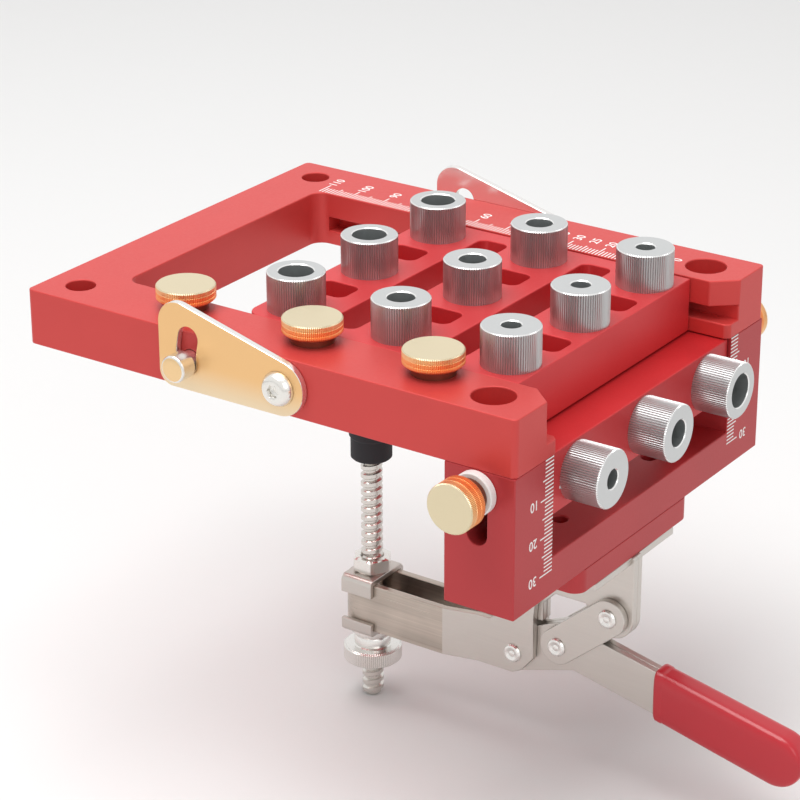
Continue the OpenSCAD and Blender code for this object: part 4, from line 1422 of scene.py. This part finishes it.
@dataclass
class Spindle:
    """Threaded rod with its nuts, ring and rubber cap."""

    pitch: float = 2.5
    crest_r: float = 2.95
    root_r: float = 2.3
    tip: float = 1.0
    tip_play: float = 0.05
    tip_overlap: float = 0.2
    tip_bevel: float = 0.5
    steps: int = 28
    bore: float = 3.0
    hex_half: float = 4.8
    hex_h: float = 4.2
    hex_bevel: float = 0.4
    hex_face_share: float = 0.97
    nut_r: float = 8.0
    nut_h: float = 7.7
    nut_bevel: Tuple[float, float] = (0.6, 0.5)
    nut_collar_r: float = 5.0
    nut_collar_h: float = 3.2
    nut_fillet: float = 0.35
    nut_rounding: Profile = ((0.0, 0.7), (0.25, 0.2), (0.6, 0.0))
    knurls: int = 90
    knurl_depth: float = 0.2
    ring_r: float = 6.0
    ring_play: float = 0.25
    ring_profile: Profile = (
        (0.9, 2.5), (0.7, 1.6), (0.2, 1.5), (0.0, 1.3), (0.0, 0.2), (0.2, 0.0),
    )
    cap_r: float = 6.0
    cap_h: float = 10.0
    cap_profile: Profile = (
        (0.8, 10.0), (0.4, 9.6), (0.4, 4.0), (0.0, 3.4), (0.0, 1.0), (0.3, 0.3), (1.0, 0.0),
    )
    cap_bore_depth: float = 7.0

    def rod(self) -> None:
        """The rod with its coarse thread and plain tip."""
        low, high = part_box("spindle_rod")
        middle = (low + high) / 2
        start = low.z / MM + self.tip
        turns = math.ceil((high.z / MM - start) / self.pitch) + 2
        # One turn of the thread: share of the pitch and radius
        profile = (
            (0.0, self.root_r), (0.14, self.root_r), (0.34, self.crest_r), (0.76, self.crest_r),
            (0.96, self.root_r), (1.0, self.root_r),
        )
        bm = bmesh.new()
        verts = [
            bm.verts.new((middle.x + r * MM, middle.y, (start + (share - 1) * self.pitch) * MM))
            for share, r in profile
        ]
        edges = [bm.edges.new(pair) for pair in zip(verts, verts[1:])]
        bmesh.ops.spin(
            bm, geom=verts + edges, cent=middle, axis=(0, 0, 1), dvec=(0, 0, self.pitch * MM / self.steps),
            angle=2 * math.pi * turns, steps=self.steps * turns, use_merge=False, use_duplicate=False,
        )
        bmesh.ops.remove_doubles(bm, verts=bm.verts, dist=2 * WELD)
        for level, way in ((start * MM, -1), (high.z, 1)):
            everything = bm.verts[:] + bm.edges[:] + bm.faces[:]
            cut = bmesh.ops.bisect_plane(
                bm, geom=everything, plane_co=(0, 0, level), plane_no=(0, 0, way), clear_outer=True
            )
            rim = [item for item in cut["geom_cut"] if isinstance(item, Edge)]
            bmesh.ops.edgeloop_fill(bm, edges=rim)
        seat = Seat(Vector((middle.x, middle.y, low.z)), Axis.DOWN, self.tip)
        play, bevel = self.tip_play, self.tip_bevel
        tip = inset(self.root_r, ((play, self.tip + self.tip_overlap), (play, bevel), (bevel, 0.0)))
        Lathe(48).turn(bm, tip, seat, False)
        new_piece("spindle_rod_threaded", bm, [STEEL], "spindle_rod")

    def nuts(self) -> None:
        """Hexagon nut, knurled nut, plain ring and rubber cap."""
        mouth = [Ring(self.bore + CHAMFER, 0), Ring(self.bore, -CHAMFER)]
        hex_face = self.hex_half * self.hex_face_share
        hexagon = [
            Ring(self.bore, -self.hex_h),
            Ring(hex_face, -self.hex_h),
            Ring(self.hex_half, self.hex_bevel - self.hex_h, Form.HEXAGON),
            Ring(self.hex_half, -self.hex_bevel, Form.HEXAGON),
            Ring(hex_face, 0),
            *mouth,
        ]
        foot = -self.nut_collar_h
        inward, down = self.nut_bevel
        knurled = [
            Ring(self.bore, -self.nut_h),
            Ring(self.nut_r - inward, -self.nut_h),
            Ring(self.nut_r, down - self.nut_h, Form.FLUTED),
            Ring(self.nut_r, foot - down, Form.FLUTED),
            Ring(self.nut_r - inward, foot),
            Ring(self.nut_collar_r + self.nut_fillet, foot),
            Ring(self.nut_collar_r, foot + CHAMFER),
            *inset(self.nut_collar_r, self.nut_rounding),
            *mouth,
        ]
        bore = self.bore + self.ring_play
        ring = [
            Ring(bore, -self.ring_profile[0][1]), *inset(self.ring_r, self.ring_profile), Ring(bore, 0)
        ]
        cap = [
            Ring(self.bore, self.cap_bore_depth - self.cap_h),
            Ring(self.bore, -self.cap_h),
            *inset(self.cap_r, self.cap_profile),
        ]
        for node, rings, finish, hollow, steps in (
            ("hex_nut", hexagon, PIN_ZINC, True, 96),
            ("knurled_nut", knurled, NUT_NICKEL, True, FLUTE_STEPS * self.knurls),
            ("spindle_ring", ring, NUT_NICKEL, True, 72),
            ("spindle_cap", cap, RUBBER, False, 72),
        ):
            lathe = Lathe(steps, self.knurl_depth)
            turned(node, Axis.UP, lathe, lambda length, rings=rings: rings, [finish], hollow)

    def build(self) -> None:
        """Makes the spindle."""
        self.rod()
        self.nuts()


@dataclass(frozen=True)
class Lamp:
    """Square softbox: its name, place, target, side in metres and power in watts."""

    name: str
    place: Triple
    target: Triple
    side: float
    power: float

    def hang(self) -> None:
        """Puts it in the scene."""
        light = bpy.data.lights.new(self.name, "AREA")
        light.shape = "SQUARE"
        light.size = self.side
        light.energy = self.power
        lamp = in_scene(self.name, light)
        way = Vector(self.target) - Vector(self.place)
        lamp.location = self.place
        lamp.rotation_euler = way.to_track_quat("-Z", "Y").to_euler()


@dataclass
class Studio:
    """Camera, lamps, world and floor."""

    lens: float = 126.06
    sensor: float = 36.0
    clip: Tuple[float, float] = (0.01, 20.0)
    place: Triple = (0.3304, -0.5578, 0.2766)
    azimuth: float = math.radians(34.605)
    elevation: float = math.radians(23.633)
    roll: float = math.radians(-0.16)
    sky: float = 0.42
    backdrop: float = 1.0
    floor_colour: Colour = (0.86, 0.855, 0.85)
    floor_half: float = 4.0
    floor_drop: float = 0.0002
    lamps: Tuple[Lamp, ...] = (
        Lamp("softbox_top", (-0.2, -0.25, 1.3), (0.0, 0.0, 0.0), 1.2, 19.0),
        Lamp("softbox_front", (1.1, -0.7, 0.7), (0.0, 0.0, -0.03), 0.8, 3.0),
    )

    def camera(self) -> None:
        """Camera at the photograph's angle."""
        data = bpy.data.cameras.new("camera")
        data.lens = self.lens
        data.sensor_width = self.sensor
        data.clip_start, data.clip_end = self.clip
        camera = in_scene("camera", data)
        camera.matrix_world = (
            Matrix.Translation(self.place)
            @ Matrix.Rotation(self.azimuth, 4, "Z")
            @ Matrix.Rotation(math.pi / 2 - self.elevation, 4, "X")
            @ Matrix.Rotation(self.roll, 4, "Z")
        )
        bpy.context.scene.camera = camera

    def world(self) -> None:
        """White to the camera and in reflections, and a plain soft level elsewhere."""
        world = bpy.data.worlds.new("studio")
        bpy.context.scene.world = world
        world.use_nodes = True
        graph = Graph(world.node_tree)
        path = graph.node("ShaderNodeLightPath", {}, {})
        seen = (
            Value(graph, path.outputs["Is Camera Ray"])
            + Value(graph, path.outputs["Is Glossy Ray"])
            + Value(graph, path.outputs["Is Transmission Ray"])
        ).above(0.5)
        white = (1.0, 1.0, 1.0, 1.0)
        soft = graph.value("ShaderNodeBackground", {}, {"Color": white, "Strength": self.sky})
        plain = graph.value("ShaderNodeBackground", {}, {"Color": white, "Strength": self.backdrop})
        both = graph.value("ShaderNodeMixShader", {}, {0: seen, 1: soft, 2: plain})
        graph.node("ShaderNodeOutputWorld", {}, {"Surface": both})

    def floor(self) -> None:
        """Plain pale floor just under the part."""
        level = CAD_BOX[0].z - self.floor_drop
        bm = bmesh.new()
        bmesh.ops.create_grid(
            bm, x_segments=1, y_segments=1, size=self.floor_half, matrix=Matrix.Translation((0, 0, level))
        )
        mesh = bpy.data.meshes.new("floor")
        bm.to_mesh(mesh)
        bm.free()
        finish = Finish("pale_floor", self.floor_colour, 0.0, 0.7, grain=2.0, relief=0.0, drift=0.004)
        mesh.materials.append(finish.material())
        floor = in_scene("floor", mesh)

    def build(self) -> None:
        """Sets up the studio."""
        bpy.context.scene.view_settings.view_transform = "Standard"
        self.camera()
        self.world()
        self.floor()
        for lamp in self.lamps:
            lamp.hang()


def main() -> None:
    """Builds the sub-assemblies in order."""
    logging.basicConfig(level=logging.INFO, format="%(name)s: %(message)s")
    assemblies = (
        FramePlates(), Bushings(), Knobs(), SideStops(), Rules(), ToggleClamp(), Spindle(), Studio(),
    )
    for assembly in assemblies:
        LOG.info("building %s", type(assembly).__name__)
        assembly.build()


if __name__ == "__main__":
    main()
